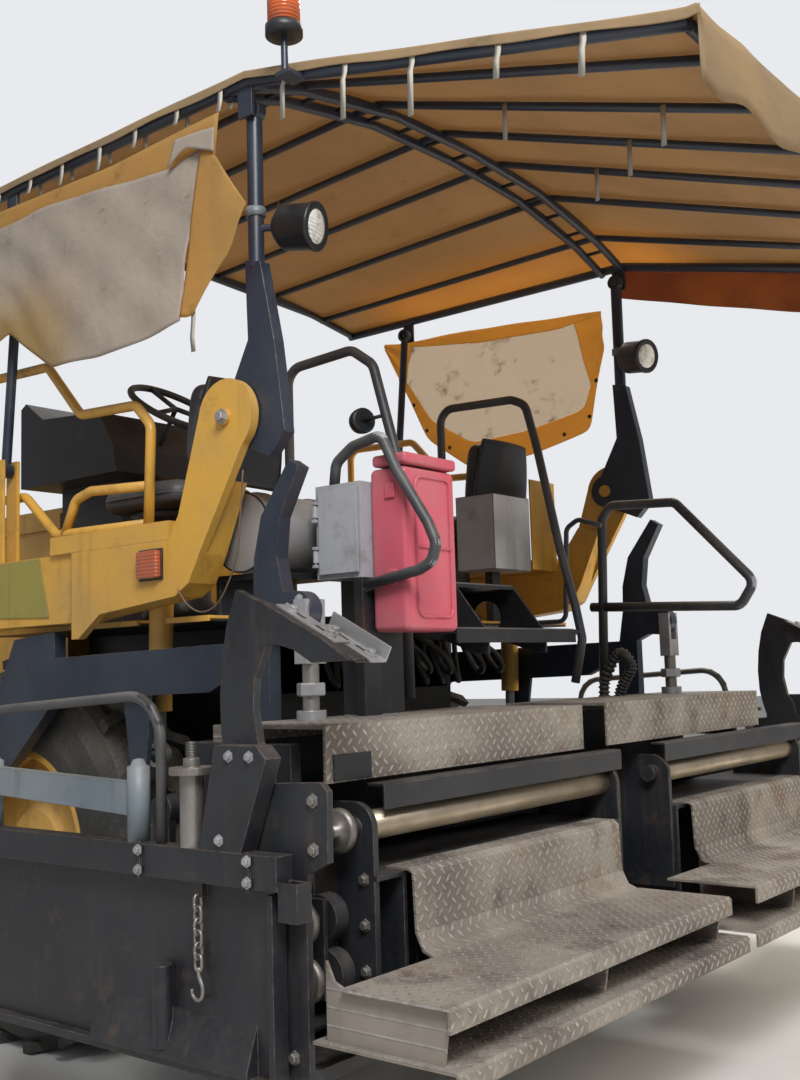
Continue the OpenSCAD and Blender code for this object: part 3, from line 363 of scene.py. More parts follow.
# %% A family of worn paints
old_grease, under_deck_shade = (0.085, 0.052, 0.032), (0.012, 0.011, 0.010)
rust_brown, bare_metal = (0.10, 0.045, 0.02), (0.19, 0.17, 0.15)
wall_outside, wall_inside = 1.145, 1.135


def worn_paint(name, colour, faded, dust=0.5, chips=0.5, grime=0.5, rough=0.5,
               grime_colour=(0.06, 0.05, 0.04), edge=0.004, dust_colour=(0.36, 0.31, 0.25),
               dark_below=None):
    """Below the height dark_below, and inside the platform's side walls, the paint is black: painted shade
    under the deck.
    """
    mix = Mixture(name)
    place = mix.place()
    patches = mix.noise(place, 2.3, 5)
    speckle = mix.noise(place, 38, 6, 0.65)
    runs = mix.noise(mix.stretch(place, (16, 16, 1.6)), 1.0, 5, 0.6)
    normal = mix.node("ShaderNodeTexCoord", {}, {}, "Normal")
    upward = mix.part(normal, "Z").clamp()
    round_edge = mix.node("ShaderNodeBevel", {"samples": 4}, {"Radius": edge})
    flat = mix.node("ShaderNodeNewGeometry", {}, {}, "Normal")
    same = mix.node("ShaderNodeVectorMath", {"operation": "DOT_PRODUCT"}, {0: round_edge, 1: flat}, "Value")
    edges = (1 - same).ramp(0.004, 0.10)
    chipped = (edges * (patches * 0.9 + speckle)).ramp(1.02 - 0.32 * chips, 1.20 - 0.32 * chips)
    flecks = speckle.ramp(0.80 - 0.07 * chips, 0.84 - 0.07 * chips) * patches.ramp(0.45, 0.65)
    bare = (chipped + flecks).clamp()
    colour_now = mix.blend(patches.ramp(0.35, 0.72), colour, faded)
    stain = (runs.ramp(0.50, 0.78) * (0.35 + 0.65 * grime) + edges * 0.25 * grime
             + speckle.ramp(0.45, 0.75) * 0.25 * grime) * grime
    colour_now = mix.blend(stain.clamp(), colour_now, grime_colour)
    blotches = mix.noise(place, 6.5, 6, 0.7).ramp(0.55, 0.70)
    colour_now = mix.blend(blotches * 0.5 * grime, colour_now, old_grease)
    # Painted shade: under the deck's floor, inside its side walls, the colour turns black.
    if dark_below:
        inside = mix.part(place, "Y").maths("ABSOLUTE").ramp(wall_outside, wall_inside)
        shade = mix.part(place, "Z").ramp(dark_below + 0.004, dark_below - 0.004) * inside
        colour_now = mix.blend(shade, colour_now, under_deck_shade)
    dusty = ((upward * 0.85 + 0.12) * (patches * 0.7 + speckle * 0.6).ramp(0.38, 0.85) * dust).clamp()
    colour_now = mix.blend(dusty, colour_now, dust_colour)
    rust = mix.blend(speckle.ramp(0.4, 0.62), rust_brown, bare_metal)
    colour_now = mix.blend(bare, colour_now, rust)
    roughness = (rough + patches * 0.16 + dusty * 0.35 + stain * 0.2 - 0.08).clamp()
    relief = mix.bump(speckle * 0.5 + patches - bare * 0.6, 0.0012, 0.35, round_edge)
    return mix.finish(Base_Color=colour_now, Roughness=roughness, Metallic=bare * 0.35, Normal=relief)


yellow_looks = ((0.62, 0.335, 0.045), (0.50, 0.29, 0.07), 0.35, 0.55, 0.55, 0.42, (0.15, 0.085, 0.03))
mustard = worn_paint("mustard paint", *yellow_looks)
# The deck's paint carries painted shade: black below its floor.
deck_paint_shaded_below = worn_paint("deck paint with painted shade below", *yellow_looks, dark_below=1.590)
navy = worn_paint("navy paint", (0.012, 0.019, 0.036), (0.022, 0.032, 0.053), 0.18, 0.8, 0.4, 0.36)
black_frame = worn_paint("dark frame paint", (0.008, 0.010, 0.014), (0.015, 0.017, 0.022), 0.20, 0.6, 0.6,
                         0.42, (0.034, 0.026, 0.020), dust_colour=(0.20, 0.175, 0.145))
screed_paint = worn_paint("screed paint", (0.008, 0.010, 0.015), (0.018, 0.021, 0.027), 0.24, 0.95, 0.8, 0.44,
                          (0.044, 0.034, 0.026), dust_colour=(0.22, 0.19, 0.155))
blue_grey = worn_paint("blue grey paint", (0.13, 0.17, 0.20), (0.21, 0.24, 0.26), 0.3, 0.9, 0.7, 0.42,
                       (0.08, 0.07, 0.06))
olive = worn_paint("olive plate", (0.29, 0.245, 0.050), (0.23, 0.20, 0.06), 0.2, 0.6, 0.5, 0.45,
                   (0.08, 0.06, 0.03))
cabinet_grey = worn_paint("cabinet paint", (0.36, 0.37, 0.40), (0.28, 0.28, 0.29), 0.3, 0.5, 0.6, 0.42,
                          (0.10, 0.08, 0.06))
print("paints:", len(bpy.data.materials))

# %% [markdown]
# ## Tread plate
# The walkways and the deck are rolled with short raised bars that lean left and right in turn, so that
# boots grip. The pattern is worked out in each cell of a square grid: the cell's number says which way its
# bar leans, and a stretched circle in turned coordinates gives the bar. Feet polish the bars' tops and
# dust fills the hollows between them, so the same height drives colour, roughness and relief.

# %% Bars that lean left and right
def tread_finish(name, pitch=0.031):
    mix = Mixture(name)
    place = mix.place()
    x, y, z = (mix.part(place, a) for a in "XYZ")
    normal = mix.node("ShaderNodeTexCoord", {}, {}, "Normal")
    steep = mix.part(normal, "Z").maths("ABSOLUTE").ramp(0.72, 0.70)
    across = x * (1 - steep) + z * steep
    u, v = (across + y) * (0.7071 / pitch), (across - y) * (0.7071 / pitch)
    cell_u, cell_v = u.maths("FLOOR"), v.maths("FLOOR")
    odd = (cell_u + cell_v).maths("FLOORED_MODULO", 2.0)
    fu, fv = u - cell_u - 0.5, v - cell_v - 0.5
    long = fu * odd + fv * (1 - odd)
    short = fv * odd + fu * (1 - odd)
    bar = (1 - (long * 2.05) ** 2 - (short * 6.2) ** 2)
    raised = bar.ramp(-0.15, 0.55)
    patches = mix.noise(place, 2.6, 5)
    speckle = mix.noise(place, 45, 6, 0.65)
    tar = mix.noise(place, 5.5, 6, 0.62).ramp(0.50, 0.66)
    hollow = mix.blend(patches.ramp(0.36, 0.66), (0.165, 0.140, 0.120), (0.30, 0.265, 0.225))
    worn = mix.blend(speckle.ramp(0.35, 0.7), (0.34, 0.32, 0.30), (0.56, 0.54, 0.51))
    colour = mix.blend(raised * (0.50 + speckle * 0.5), hollow, worn)
    colour = mix.blend(tar * (0.55 - raised * 0.35), colour, (0.055, 0.045, 0.038))
    rusty = mix.noise(place, 3.4, 6, 0.7).ramp(0.54, 0.68)
    colour = mix.blend(rusty * (0.50 - raised * 0.25), colour, (0.16, 0.085, 0.045))
    roughness = (0.72 - raised * 0.22 + speckle * 0.15 - tar * 0.1).clamp()
    round_edge = mix.node("ShaderNodeBevel", {"samples": 4}, {"Radius": 0.003})
    relief = mix.bump(raised + speckle * 0.12, 0.0022, 0.9, round_edge)
    return mix.finish(Base_Color=colour, Roughness=roughness, Metallic=(0.22 + raised * 0.30).clamp(),
                      Normal=relief)


tread_plate = tread_finish("tread plate")
print("nodes in the tread plate:", len(tread_plate.node_tree.nodes))

# %% [markdown]
# ## Rubber, bare steel, vinyl and plastic
# The remaining hard finishes are simpler: a dark or bright base, a grain at the right size and dust.

# %% A plain finish with grain and dust
def plain_finish(name, colour, second, rough, metallic=0.0, grain=60.0, depth=0.0006, dust=0.3, edge=0.003,
                 dust_colour=(0.33, 0.29, 0.24), **more):
    mix = Mixture(name)
    place = mix.place()
    patches = mix.noise(place, 4.0, 5)
    fine = mix.noise(place, grain, 5, 0.6)
    upward = mix.part(mix.node("ShaderNodeTexCoord", {}, {}, "Normal"), "Z").clamp()
    base = mix.blend(patches.ramp(0.36, 0.66), colour, second)
    dusty = ((upward * 0.75 + 0.22) * (patches * 0.7 + fine * 0.55).ramp(0.42, 0.82) * dust).clamp()
    base = mix.blend(dusty, base, dust_colour)
    round_edge = mix.node("ShaderNodeBevel", {"samples": 4}, {"Radius": edge})
    looks = dict(Base_Color=base, Roughness=(rough + fine * 0.2 + dusty * 0.3 - 0.1).clamp(),
                 Normal=mix.bump(fine, depth, 0.6, round_edge), **more)
    if metallic:
        looks["Metallic"] = (metallic - dusty * 0.8 * metallic).clamp()
    return mix.finish(**looks)


rubber = plain_finish("tyre rubber", (0.018, 0.018, 0.018), (0.035, 0.033, 0.030), 0.75, dust=0.55,
                      depth=0.001)
hose_rubber = plain_finish("hose rubber", (0.012, 0.012, 0.013), (0.022, 0.021, 0.020), 0.55, dust=0.35)
bare_steel = plain_finish("worn steel", (0.34, 0.32, 0.30), (0.22, 0.20, 0.18), 0.42, 0.85, grain=90,
                          dust=0.45)
bright_steel = plain_finish("bright steel", (0.50, 0.42, 0.31), (0.34, 0.27, 0.19), 0.38, 0.85, grain=80,
                            dust=0.4)
zinc = plain_finish("zinc plate", (0.50, 0.50, 0.52), (0.34, 0.34, 0.35), 0.42, 0.75, grain=70, dust=0.45)
drum_metal = plain_finish("drum metal", (0.34, 0.33, 0.33), (0.26, 0.25, 0.24), 0.50, 0.4, grain=50, dust=0.4)
vinyl = plain_finish("seat vinyl", (0.020, 0.022, 0.028), (0.032, 0.034, 0.040), 0.48, grain=220,
                     depth=0.0008, dust=0.35)
pink_plastic = plain_finish("faded plastic", (0.52, 0.085, 0.125), (0.47, 0.12, 0.15), 0.42, grain=30,
                            depth=0.0004, dust=0.25)
finish_of_slot = {
    "chassis_steel": black_frame, "yellow_paint": mustard, "dark_paint": black_frame,
    "cabinet_paint": cabinet_grey, "seat_vinyl": vinyl, "tyre_rubber": rubber, "screed_steel": screed_paint,
    "worn_steel": bare_steel, "navy_paint": navy, "tread_plate": tread_plate, "zinc_plate": zinc,
    "faded_plastic": pink_plastic}
print("slots with a finish:", len(finish_of_slot))

# %% [markdown]
# ## Canvas
# The canopy is coated canvas, bleached to ochre and grey, and thin enough that daylight glows through it.
# A Principled shader gives its surface, and a Translucent one lets light through. The weave is far finer
# than a pixel from here, so a light crosswise bump is enough. Creases and water stains are what is seen.

# %% Canvas that lets light through
def canvas_finish(name, colour, second, glow, through=0.35, stains=0.5, stain_colour=(0.13, 0.085, 0.05),
                  tint=None):
    """tint is a colour and, axis by axis, where it begins and where it is full."""
    mix = Mixture(name)
    place = mix.place()
    cloth = mix.node("ShaderNodeUVMap", {"uv_map": "cloth"}, {})
    patches = mix.noise(place, 1.9, 5, 0.6)
    creases = mix.noise(mix.stretch(place, (5.0, 2.2, 5.0)), 1.3, 7, 0.62)
    blots = mix.noise(place, 7.5, 6, 0.7)
    weave_u = (mix.part(cloth, "X") * 2600).maths("SINE")
    weave_v = (mix.part(cloth, "Y") * 2600).maths("SINE")
    base = mix.blend(patches.ramp(0.36, 0.66), colour, second)
    stained = (blots.ramp(0.58, 0.74) * stains).clamp()
    base = mix.blend(stained, base, stain_colour)
    if tint:
        mask = (patches * 1.2 + 0.3).clamp()
        for axis, begins, full in tint[1]:
            mask = mask * mix.part(place, axis).ramp(begins, full)
        base = mix.blend(mask, base, tint[0])
        through = (mask * 0.35 + through).clamp()
    relief = mix.bump(creases * 2.6 + weave_u * weave_v * 0.04, 0.008, 0.55)
    surface = mix.node("ShaderNodeBsdfPrincipled", {},
                       {"Base Color": base, "Roughness": 0.72, "Normal": relief})
    lit = mix.node("ShaderNodeBsdfTranslucent", {}, {"Color": (*glow, 1.0), "Normal": relief})
    both = mix.node("ShaderNodeMixShader", {}, {0: through, 1: surface, 2: lit})
    mix.output(both)
    return mix.material


# Painted glow: the roof's right front turns orange, and lets more light through, where the low sun glows
# through the canvas.
roof_cloth = canvas_finish("roof canvas", (0.43, 0.30, 0.16), (0.33, 0.24, 0.14), (0.66, 0.42, 0.17), 0.32,
                           0.5, tint=((0.56, 0.22, 0.075),
                                      (("Y", -0.78, -1.22), ("X", -2.10, -1.60), ("X", 0.20, -0.30))))
grey_cloth = canvas_finish("bleached canvas", (0.42, 0.345, 0.285), (0.34, 0.285, 0.235),
                           (0.45, 0.36, 0.22), 0.15, 0.6,
                           tint=((0.50, 0.32, 0.10), (("X", -0.75, -0.35), ("Z", 2.95, 2.66))))
ochre_cloth = canvas_finish("ochre canvas", (0.50, 0.325, 0.105), (0.44, 0.29, 0.10), (0.95, 0.60, 0.20),
                            0.45, 0.6)
# Painted glow and shade: this canvas's orange is its colour with the low sun's glow painted in, and the dark
# second colour paints shade in patches.
glow_and_shade_cloth = canvas_finish("canvas with painted glow and shade", (0.40, 0.16, 0.045), (0.13, 0.07, 0.035),
                              (0.60, 0.22, 0.06), 0.30, 0.8)
print("cloths:", [cloth.name for cloth in (roof_cloth, grey_cloth, ochre_cloth, glow_and_shade_cloth)])

# %% [markdown]
# Every solid now takes the finish of the slot that its record names. Solids that a softer or finer piece
# will stand for later are dressed too, which does no harm while they are hidden.

# %% Dress the solids
for part in frame["record"]["subparts"]:
    solid = nodes[part["node"]]
    solid.data.materials.clear()
    solid.data.materials.append(finish_of_slot.get(part["material_slot"], roof_cloth))
nodes["platform"].data.materials[0] = deck_paint_shaded_below

# %% [markdown]
# ## The roof's canvas
# The canvas is one sheet over a frame of tubes: a ridge beam above the masts, a slope forward to the
# front edge and a longer, steeper one back to the rear edge, where it hangs down as a valance. Across,
# the ridge is arched. The same curves place the tubes, so the sheet is those curves and a little more:
# it sags a few millimetres between the rafters. Its sides end just over the side tubes, and only its rear
# edge hangs down, scalloped between its ties.

# %% The roof's curves
roof_half, side_z, roof_rise, rear_drop = 1.250, 3.310, 0.185, 0.370
ridge_x, rear_x, front_x = -1.486, -3.000, 0.270
rafters = np.array([-1.0, -0.6, -0.2, 0.2, 0.6, 1.0])


def arch(y):
    """1 over the middle, falling to 0 at the side tubes, ever more steeply."""
    return 1 - (np.minimum(np.abs(y), roof_half) / roof_half) ** 2.5


def roof_height(x, y):
    """Height of the frame's tubes: three arched lines across, straight between them along X."""
    x = np.clip(x, rear_x, front_x)
    ridge = side_z + roof_rise * arch(y)
    rear = side_z - rear_drop + 0.015 * arch(y)
    front = side_z + 0.55 * roof_rise * arch(y)
    behind = rear + (ridge - rear) * (x - rear_x) / (ridge_x - rear_x)
    ahead = front + (ridge - front) * (front_x - x) / (front_x - ridge_x)
    return np.where(x < ridge_x, behind, ahead)


print("ridge over the middle:", round(float(roof_height(np.array(ridge_x), 0.0)), 3))

# %% [markdown]
# The sheet lies a little above those curves. Its flat size is measured along its own rows and columns once
# it is shaped, because that is the size it was cut to.

# %% The sheet over the frame
cloth_thickness, cloth_half, over_tubes = 0.0015, 1.277, 0.0252
rafter_step, sag_depth, side_drop, rear_flap = 0.4, 0.010, 0.027, 0.185


def lengths_along(points):
    """Metres of cloth from the first row, and from the first column, to each point of a grid."""
    rows, columns, _ = points.shape
    down = np.cumsum(np.linalg.norm(np.diff(points, axis=0), axis=-1), 0)
    over = np.cumsum(np.linalg.norm(np.diff(points, axis=1), axis=-1), 1)
    return np.vstack([np.zeros(columns), down]), np.hstack([np.zeros((rows, 1)), over])


across = np.concatenate([np.full(7, -cloth_half), np.linspace(-cloth_half, cloth_half, 97),
                         np.full(7, cloth_half)])
hang = np.concatenate([np.linspace(1, 0, 8)[:7], np.zeros(97), np.linspace(0, 1, 8)[1:]])
along = np.concatenate([np.linspace(rear_x - 0.030, ridge_x, 60),
                        np.linspace(ridge_x, front_x + 0.030, 60)[1:]])
X, Y = np.meshgrid(along, across, indexing="ij")
between = np.abs(((Y + 1.2) % rafter_step) - rafter_step / 2) / (rafter_step / 2)
sag = sag_depth * np.sqrt(between) * np.clip((roof_half - np.abs(Y)) / 0.1, 0, 1)
lift = over_tubes + 0.0018 * np.sin(9 * X + 4 * Y) + 0.0012 * np.sin(23 * Y - 5 * X)
Z = roof_height(X, Y) + lift - sag
scallop = 1 + 0.10 * np.cos(2 * np.pi * X / 0.42)
Z = Z - hang[None] * side_drop * scallop
Y = Y + np.sign(Y) * hang[None] * 0.0015 * np.sin(X * 11)
rear_hang = np.linspace(0, 1, 7)[1:, None]
tail_x = np.full((6, len(across)), along[0]) - 0.010 * np.sin(rear_hang * 3)
rear_scallop = 1 + 0.08 * np.cos(2 * np.pi * across[None] / rafter_step)
tail_z = Z[0][None] - rear_hang * rear_flap * (hang[None] == 0) * rear_scallop
top = np.stack([X, Y, Z], -1)
tail = np.stack([tail_x, np.broadcast_to(Y[0][None], tail_x.shape), tail_z], -1)
sheet_points = np.vstack([tail[::-1], top])
cloth_u, cloth_v = lengths_along(sheet_points)
canvas = grid_piece("roof_cloth", sheet_points, roof_cloth, "roof",
                    uv=np.stack([cloth_u, cloth_v], -1).reshape(-1, 2))
thicken(canvas, cloth_thickness)
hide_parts("roof_canvas")

# %% [markdown]
# ## The side curtains
# Below each side tube hangs a curtain that can be rolled down against rain. On the left its cloth is tied
# up in two layers: a bleached sheet whose rear edge is turned over, so that its brighter back shows, and
# behind its top a band of the same cloth. A sheet like this is a patch between an upper and a lower edge,
# both given by a few points, with folds that grow towards the hem where nothing holds the cloth.

# %% A patch between two edges
def edge_curve(points, count):
    """count points at even steps of length along straight lines between the given ones."""
    p = np.asarray(points, float)
    steps = np.concatenate([[0], np.cumsum(np.linalg.norm(np.diff(p, axis=0), axis=1))])
    t = np.linspace(0, steps[-1], count)
    return np.stack([np.interp(t, steps, p[:, k]) for k in range(p.shape[1])], -1)


def softened(curve, times=4):
    """Each point but the ends moves to the middle of its neighbours, a few times over."""
    for _ in range(times):
        curve[1:-1] = 0.5 * curve[1:-1] + 0.25 * (curve[:-2] + curve[2:])
    return curve


def hung(top, hem, rows, columns, y, folds):
    """Rows run from the top edge to the hem in X and Z; folds gives how far a point stands out in Y."""
    a, b = softened(edge_curve(top, columns)), softened(edge_curve(hem, columns))
    v = np.linspace(0, 1, rows)[:, None, None]
    flat = (1 - v) * a + v * b
    u = np.linspace(0, 1, columns)[None, :]
    out = y + folds(u, v[..., 0])
    return np.stack([flat[..., 0], np.broadcast_to(out, flat.shape[:2]), flat[..., 1]], -1)


def cloth_sheet(name, points, finish, body, solid_for=None, thick=cloth_thickness):
    """A hung sheet with its own measured flat size and UVs in metres."""
    u, v = lengths_along(points)
    made = grid_piece(name, points, finish, body, uv=np.stack([u, v], -1).reshape(-1, 2))
    thicken(made, thick)
    if solid_for:
        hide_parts(solid_for)

# %% [markdown]
# The left curtain is four cloths: a band under the side tube, the sheet before it, the corner that is
# turned over and a small flap. Each has its own two edges and its own folds, so it is called by itself.

# %% The left curtain's two layers
def ripple(u, v):
    """How far the cloth stands out: long folds that grow towards the hem, with short creases over them."""
    folds = 0.013 * np.sin(9 * u + 1) + 0.006 * np.sin(23 * u + 5 * v)
    return (v * folds + 0.006 * np.sin(3 * v) + 0.008 * v * np.abs(np.sin(7 * u + 6 * v))
            + 0.003 * np.sin(31 * u - 17 * v))


band = hung([(0.28, 3.240), (-0.15, 3.222), (-0.82, 3.205), (-1.22, 3.222), (-1.38, 3.225)],
            [(0.28, 3.150), (-0.15, 3.140), (-0.43, 3.120), (-0.93, 3.080), (-1.17, 3.060), (-1.36, 3.040)],
            8, 60, 1.290, lambda u, v: 0.006 * np.sin(14 * u) * v)
cloth_sheet("left_band", band, ochre_cloth, "roof")
panel = hung([(0.27, 3.150), (-0.15, 3.140), (-0.42, 3.153), (-0.57, 3.146), (-0.82, 3.124), (-1.16, 3.090),
              (-1.24, 3.109), (-1.32, 3.122)],
             [(0.27, 2.60), (-0.05, 2.66), (-0.22, 2.72), (-0.47, 2.537), (-0.79, 2.510), (-1.05, 2.529),
              (-1.20, 2.560)],
             40, 90, 1.306, ripple)
cloth_sheet("left_curtain", panel, grey_cloth, "roof", "curtain_left")
turned_over = hung([(-1.318, 3.124), (-1.345, 3.110), (-1.392, 3.070), (-1.524, 2.871)],
                   [(-1.201, 2.571), (-1.240, 2.560), (-1.275, 2.557), (-1.432, 2.728)],
                   30, 24, 1.312, lambda u, v: 0.012 * np.sin(3.14 * u) + 0.004 * np.sin(6 * v))
cloth_sheet("left_fold", turned_over, ochre_cloth, "roof")
flap = hung([(-1.20, 3.175), (-1.30, 3.170), (-1.392, 3.160)],
            [(-1.167, 3.083), (-1.254, 3.132), (-1.394, 3.075)], 8, 20, 1.322, lambda u, v: 0.006 * v)
cloth_sheet("left_flap", flap, grey_cloth, "roof")
print("folds stand out by", round(float(np.ptp(panel[..., 1])), 3), "m")

# %% [markdown]
# The right curtain is seen from inside. It is ochre cloth round a clear window, with eyelets along its
# foot and a rod that stretches it. The window is a sheet of soft clear vinyl, wavy and stained, so it
# mirrors a little sky in broken patches. Four strips of cloth frame it.

# %% The right curtain and its window
def clear_finish(name):
    mix = Mixture(name)
    place = mix.place()
    waves = mix.noise(mix.stretch(place, (7, 2, 5)), 1.0, 4, 0.6)
    blots = mix.noise(place, 6, 6, 0.7).ramp(0.53, 0.72)
    film = mix.node("ShaderNodeBsdfPrincipled", {}, {
        "Base Color": mix.blend(blots, (0.56, 0.42, 0.28), (0.26, 0.11, 0.045)),
        "Roughness": 0.16, "Normal": mix.bump(waves, 0.05, 0.9)})
    through = mix.node("ShaderNodeBsdfTransparent", {}, {"Color": (0.94, 0.84, 0.70, 1.0)})
    mix.output(mix.node("ShaderNodeMixShader", {}, {0: (0.30 + blots * 0.45).clamp(), 1: through, 2: film}))
    return mix.material


clear_vinyl = clear_finish("clear vinyl")
right_top = [(-1.330, 3.135), (-1.095, 3.152), (-0.537, 3.200), (-0.054, 3.215), (0.054, 3.233)]
right_hem = [(-1.342, 2.930), (-1.290, 2.740), (-1.237, 2.550), (-0.882, 2.472), (-0.504, 2.454),
             (-0.243, 2.643), (-0.047, 3.013), (0.054, 3.200)]
whole = hung(right_top, right_hem, 61, 101, -1.300, lambda u, v: 0.012 * np.sin(8 * u + 2 * v) * v
             + 0.006 * np.sin(21 * u) + 0.004 * np.sin(13 * v + 9 * u))
cloth_parts = {"right_upper": whole[:7], "right_lower": whole[49:], "right_rear": whole[6:50, :13],
               "right_front": whole[6:50, 86:]}
for part_name, points in cloth_parts.items():
    cloth_sheet(part_name, points, ochre_cloth, "roof",
                "curtain_right" if part_name == "right_upper" else None)
window = whole[6:50, 12:87] + np.array([0, 0.002, 0])
cloth_sheet("right_window", window, clear_vinyl, "roof", thick=0.001)
eyelet = [(0.004, 0.0), (0.010, 0.0), (0.011, 0.0015), (0.009, 0.003), (0.004, 0.002)]
eyelet_at = [tuple(whole[57, k] + np.array([0, cloth_thickness, 0])) for k in range(8, 96, 9)]
turned("right_eyelets", eyelet, eyelet_at, sideways, black_frame, "roof", sides=14, slot="canvas")
side_hang = hung([(-1.402, 3.318), (-1.869, 3.202), (-2.336, 3.090), (-2.985, 2.930)],
                 [(-1.449, 3.170), (-1.860, 3.046), (-2.324, 2.913), (-2.965, 2.790)], 14, 80, -1.2815,
                 lambda u, v: -0.010 * v * (1 + np.sin(26 * u)) * 0.5 - 0.004 * v)
cloth_sheet("right_valance", side_hang, glow_and_shade_cloth, "roof")
print("eyelets along the foot:", len(eyelet_at))

# %% [markdown]
# ## Ties, straps and clips
# The curtains hang from the side tubes by narrow off-white straps. Each goes over the tube and its two
# ends hang down. A strap is a flat ribbon: a path, a direction across it and a width. All straps along a
# tube are worked out at once, because only their place along X differs.

# %% Ribbons of webbing
webbing = plain_finish("webbing", (0.47, 0.44, 0.38), (0.36, 0.33, 0.28), 0.8, grain=300, depth=0.0005,
                       dust=0.2)


def ribbons(name, paths, across, width, finish, body, thick=0.0014, **more):
    """Flat ribbons of one width; across is the direction of the width for all of them."""
    points, faces, first = [], [], 0
    half = unit(np.asarray(across, float)) * width / 2
    for path in paths:
        path = np.asarray(path, float)
        points.append(np.stack([path - half, path + half], 1).reshape(-1, 3))
        faces += grid_faces(len(path), 2, False, first)
        first += 2 * len(path)
    thicken(piece(name, np.vstack(points), faces, finish, body, **more), thick, 0)


def over_tube(x, y, z, r, outer, inner):
    """A path over a tube along X: up its outside, over the top and down its inside."""
    a = np.radians(np.linspace(0, 180, 9))
    sign = 1 if y > 0 else -1
    arc = np.stack([np.full(9, x), y + sign * r * np.cos(a), z + r * np.sin(a)], -1)
    end_a = np.array([[x, y + sign * (r + 0.012), z - outer], [x, y + sign * (r + 0.003), z - outer * 0.5]])
    end_b = np.array([[x, y - sign * r, z - inner * 0.5], [x, y - sign * (r - 0.004), z - inner]])
    return np.vstack([end_a, arc, end_b])


tie_x = np.array([0.12, -0.10, -0.31, -0.51, -0.735, -0.935, -1.156, -1.371])
ties = [over_tube(x, roof_half, side_z, 0.023, 0.075 + 0.02 * math.sin(7 * x), 0.05) for x in tie_x]
ribbons("ties_left", ties, lengthways, 0.022, webbing, "roof")
print("straps over the left side tube:", len(ties))

# %% [markdown]
# ## Rails
# The handrails are bent steel tube. In the solids each bend is a few straight steps, which is enough to
# grip and to collide with, but not to look at. The same paths with rounder bends make smooth tubes, and
# each foot gets the small weld collar that shows where a tube meets a plate.

# %% Smooth tubes for the rails
def in_plane(y, outline):
    """Points in X and Z, all at one Y."""
    return [(x, y, z) for x, z in outline]


rail_y, rail_radius = 1.145, 0.0185
front_foot, rear_foot, foot_z = 0.200, -0.835, 1.915
outer_rail = [(front_foot, foot_z), (0.200, 2.625), (-0.240, 2.610), (-0.449, 2.387), (-0.771, 2.372),
              (-0.853, 2.287), (rear_foot, foot_z)]
knee_rail = [(0.190, 2.120), (-0.097, 2.115), (-0.300, 1.945), (-0.820, 1.937)]
seat_rail = [(-0.350, 1.940), (-0.418, 2.068), (-0.509, 2.090), (-0.835, 2.072)]
rail_paths = [rounded(in_plane(side * rail_y, outline), bend, 10) for side in (1, -1)
              for outline, bend in ((outer_rail, 0.06), (knee_rail, 0.06), (seat_rail, 0.05))]
rails = tubes("rails_yellow", rail_paths, rail_radius, mustard, "tractor", sides=20)
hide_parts("hand_rails")
collar = [(0.030, -0.002), (0.030, 0.003), (0.024, 0.010), (rail_radius, 0.014)]
feet = [(x, s * rail_y, foot_z) for x in (front_foot, rear_foot) for s in (1, -1)]
turned("rail_collars", collar, feet, upright, mustard, "tractor", sides=24)
dark_rails = [rounded(in_plane(0.600, [(-1.005, 1.600), (-1.005, 2.555), (-1.330, 2.572), (-1.430, 2.500),
                                       (-1.545, 2.090), (-1.555, 1.300)]), 0.07, 10),
              rounded(in_plane(-0.500, [(-0.911, 1.600), (-0.911, 2.580), (-1.302, 2.564), (-1.372, 2.532),
                                        (-1.422, 2.342), (-1.514, 1.895), (-1.579, 1.638), (-1.605, 1.503),
                                        (-1.562, 1.324)]), 0.07, 10)]
worn_rail = worn_paint("worn dark rail", (0.030, 0.034, 0.042), (0.075, 0.075, 0.078), 0.35, 0.9, 0.35, 0.45)
rails = tubes("rails_dark", dark_rails, rail_radius, worn_rail, "tractor", sides=20)
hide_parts("rear_rails")
thin_rails = [[(-1.590, -0.500, 1.532), (-1.590, -0.4555, 1.532)],
              [(-1.140, 0.600, 1.590), (-1.550, 0.600, 1.590)],
              rounded(in_plane(-0.750, [(-1.141, 1.590), (-1.380, 1.590), (-1.403, 2.002), (-1.464, 2.037),
                                        (-1.577, 2.000)]), 0.04, 8)]
tubes("rail_stays", thin_rails, 0.011, worn_rail, "tractor")
print("rails:", len(rail_paths), "yellow,", len(dark_rails), "dark,", len(thin_rails), "thin")

# %% [markdown]
# ## The roof's tubes
# The roof's side tubes, the pair of ridge tubes over the masts, the rear and front tubes and the thinner
# rafters are sleeved in the same way: the smooth tube is half a millimetre thicker than the solid one, so
# it hides the flat sides, while the solid keeps its hinge plates.

# %% Smooth tubes for the roof
ridge_gap, ridge_drop = 0.110, 0.018


def arched(x, height, count=33):
    """A cross tube at x, bent to a height that depends on Y."""
    y = np.linspace(-roof_half, roof_half, count)
    return np.stack([np.full(count, x), y, height(y)], -1)


side_tubes = [rounded([(front_x, s * roof_half, side_z), (ridge_x, s * roof_half, side_z),
                       (rear_x, s * roof_half, side_z - rear_drop)], 0.15, 10) for s in (1, -1)]
cross_tubes = [arched(x, lambda y: side_z + roof_rise * arch(y) - ridge_drop)
               for x in (ridge_x, ridge_x + ridge_gap)]
cross_tubes += [arched(rear_x + 0.012, lambda y: side_z - 0.366 + 0.015 * arch(y)),
                arched(front_x - 0.020, lambda y: side_z + 0.55 * roof_rise * arch(y) - 0.002)]
rafter_tubes = [rounded([(rear_x, y, float(roof_height(rear_x, y))),
                         (ridge_x, y, float(roof_height(ridge_x, y))),
                         (front_x, y, float(roof_height(front_x, y)))], 0.12, 8) for y in rafters]
tubes("roof_tubes", side_tubes, 0.0207, navy, "roof", sides=20)
tubes("roof_cross_tubes", cross_tubes, 0.0177, navy, "roof", sides=16)
tubes("roof_rafters", rafter_tubes, 0.0147, navy, "roof", sides=14)

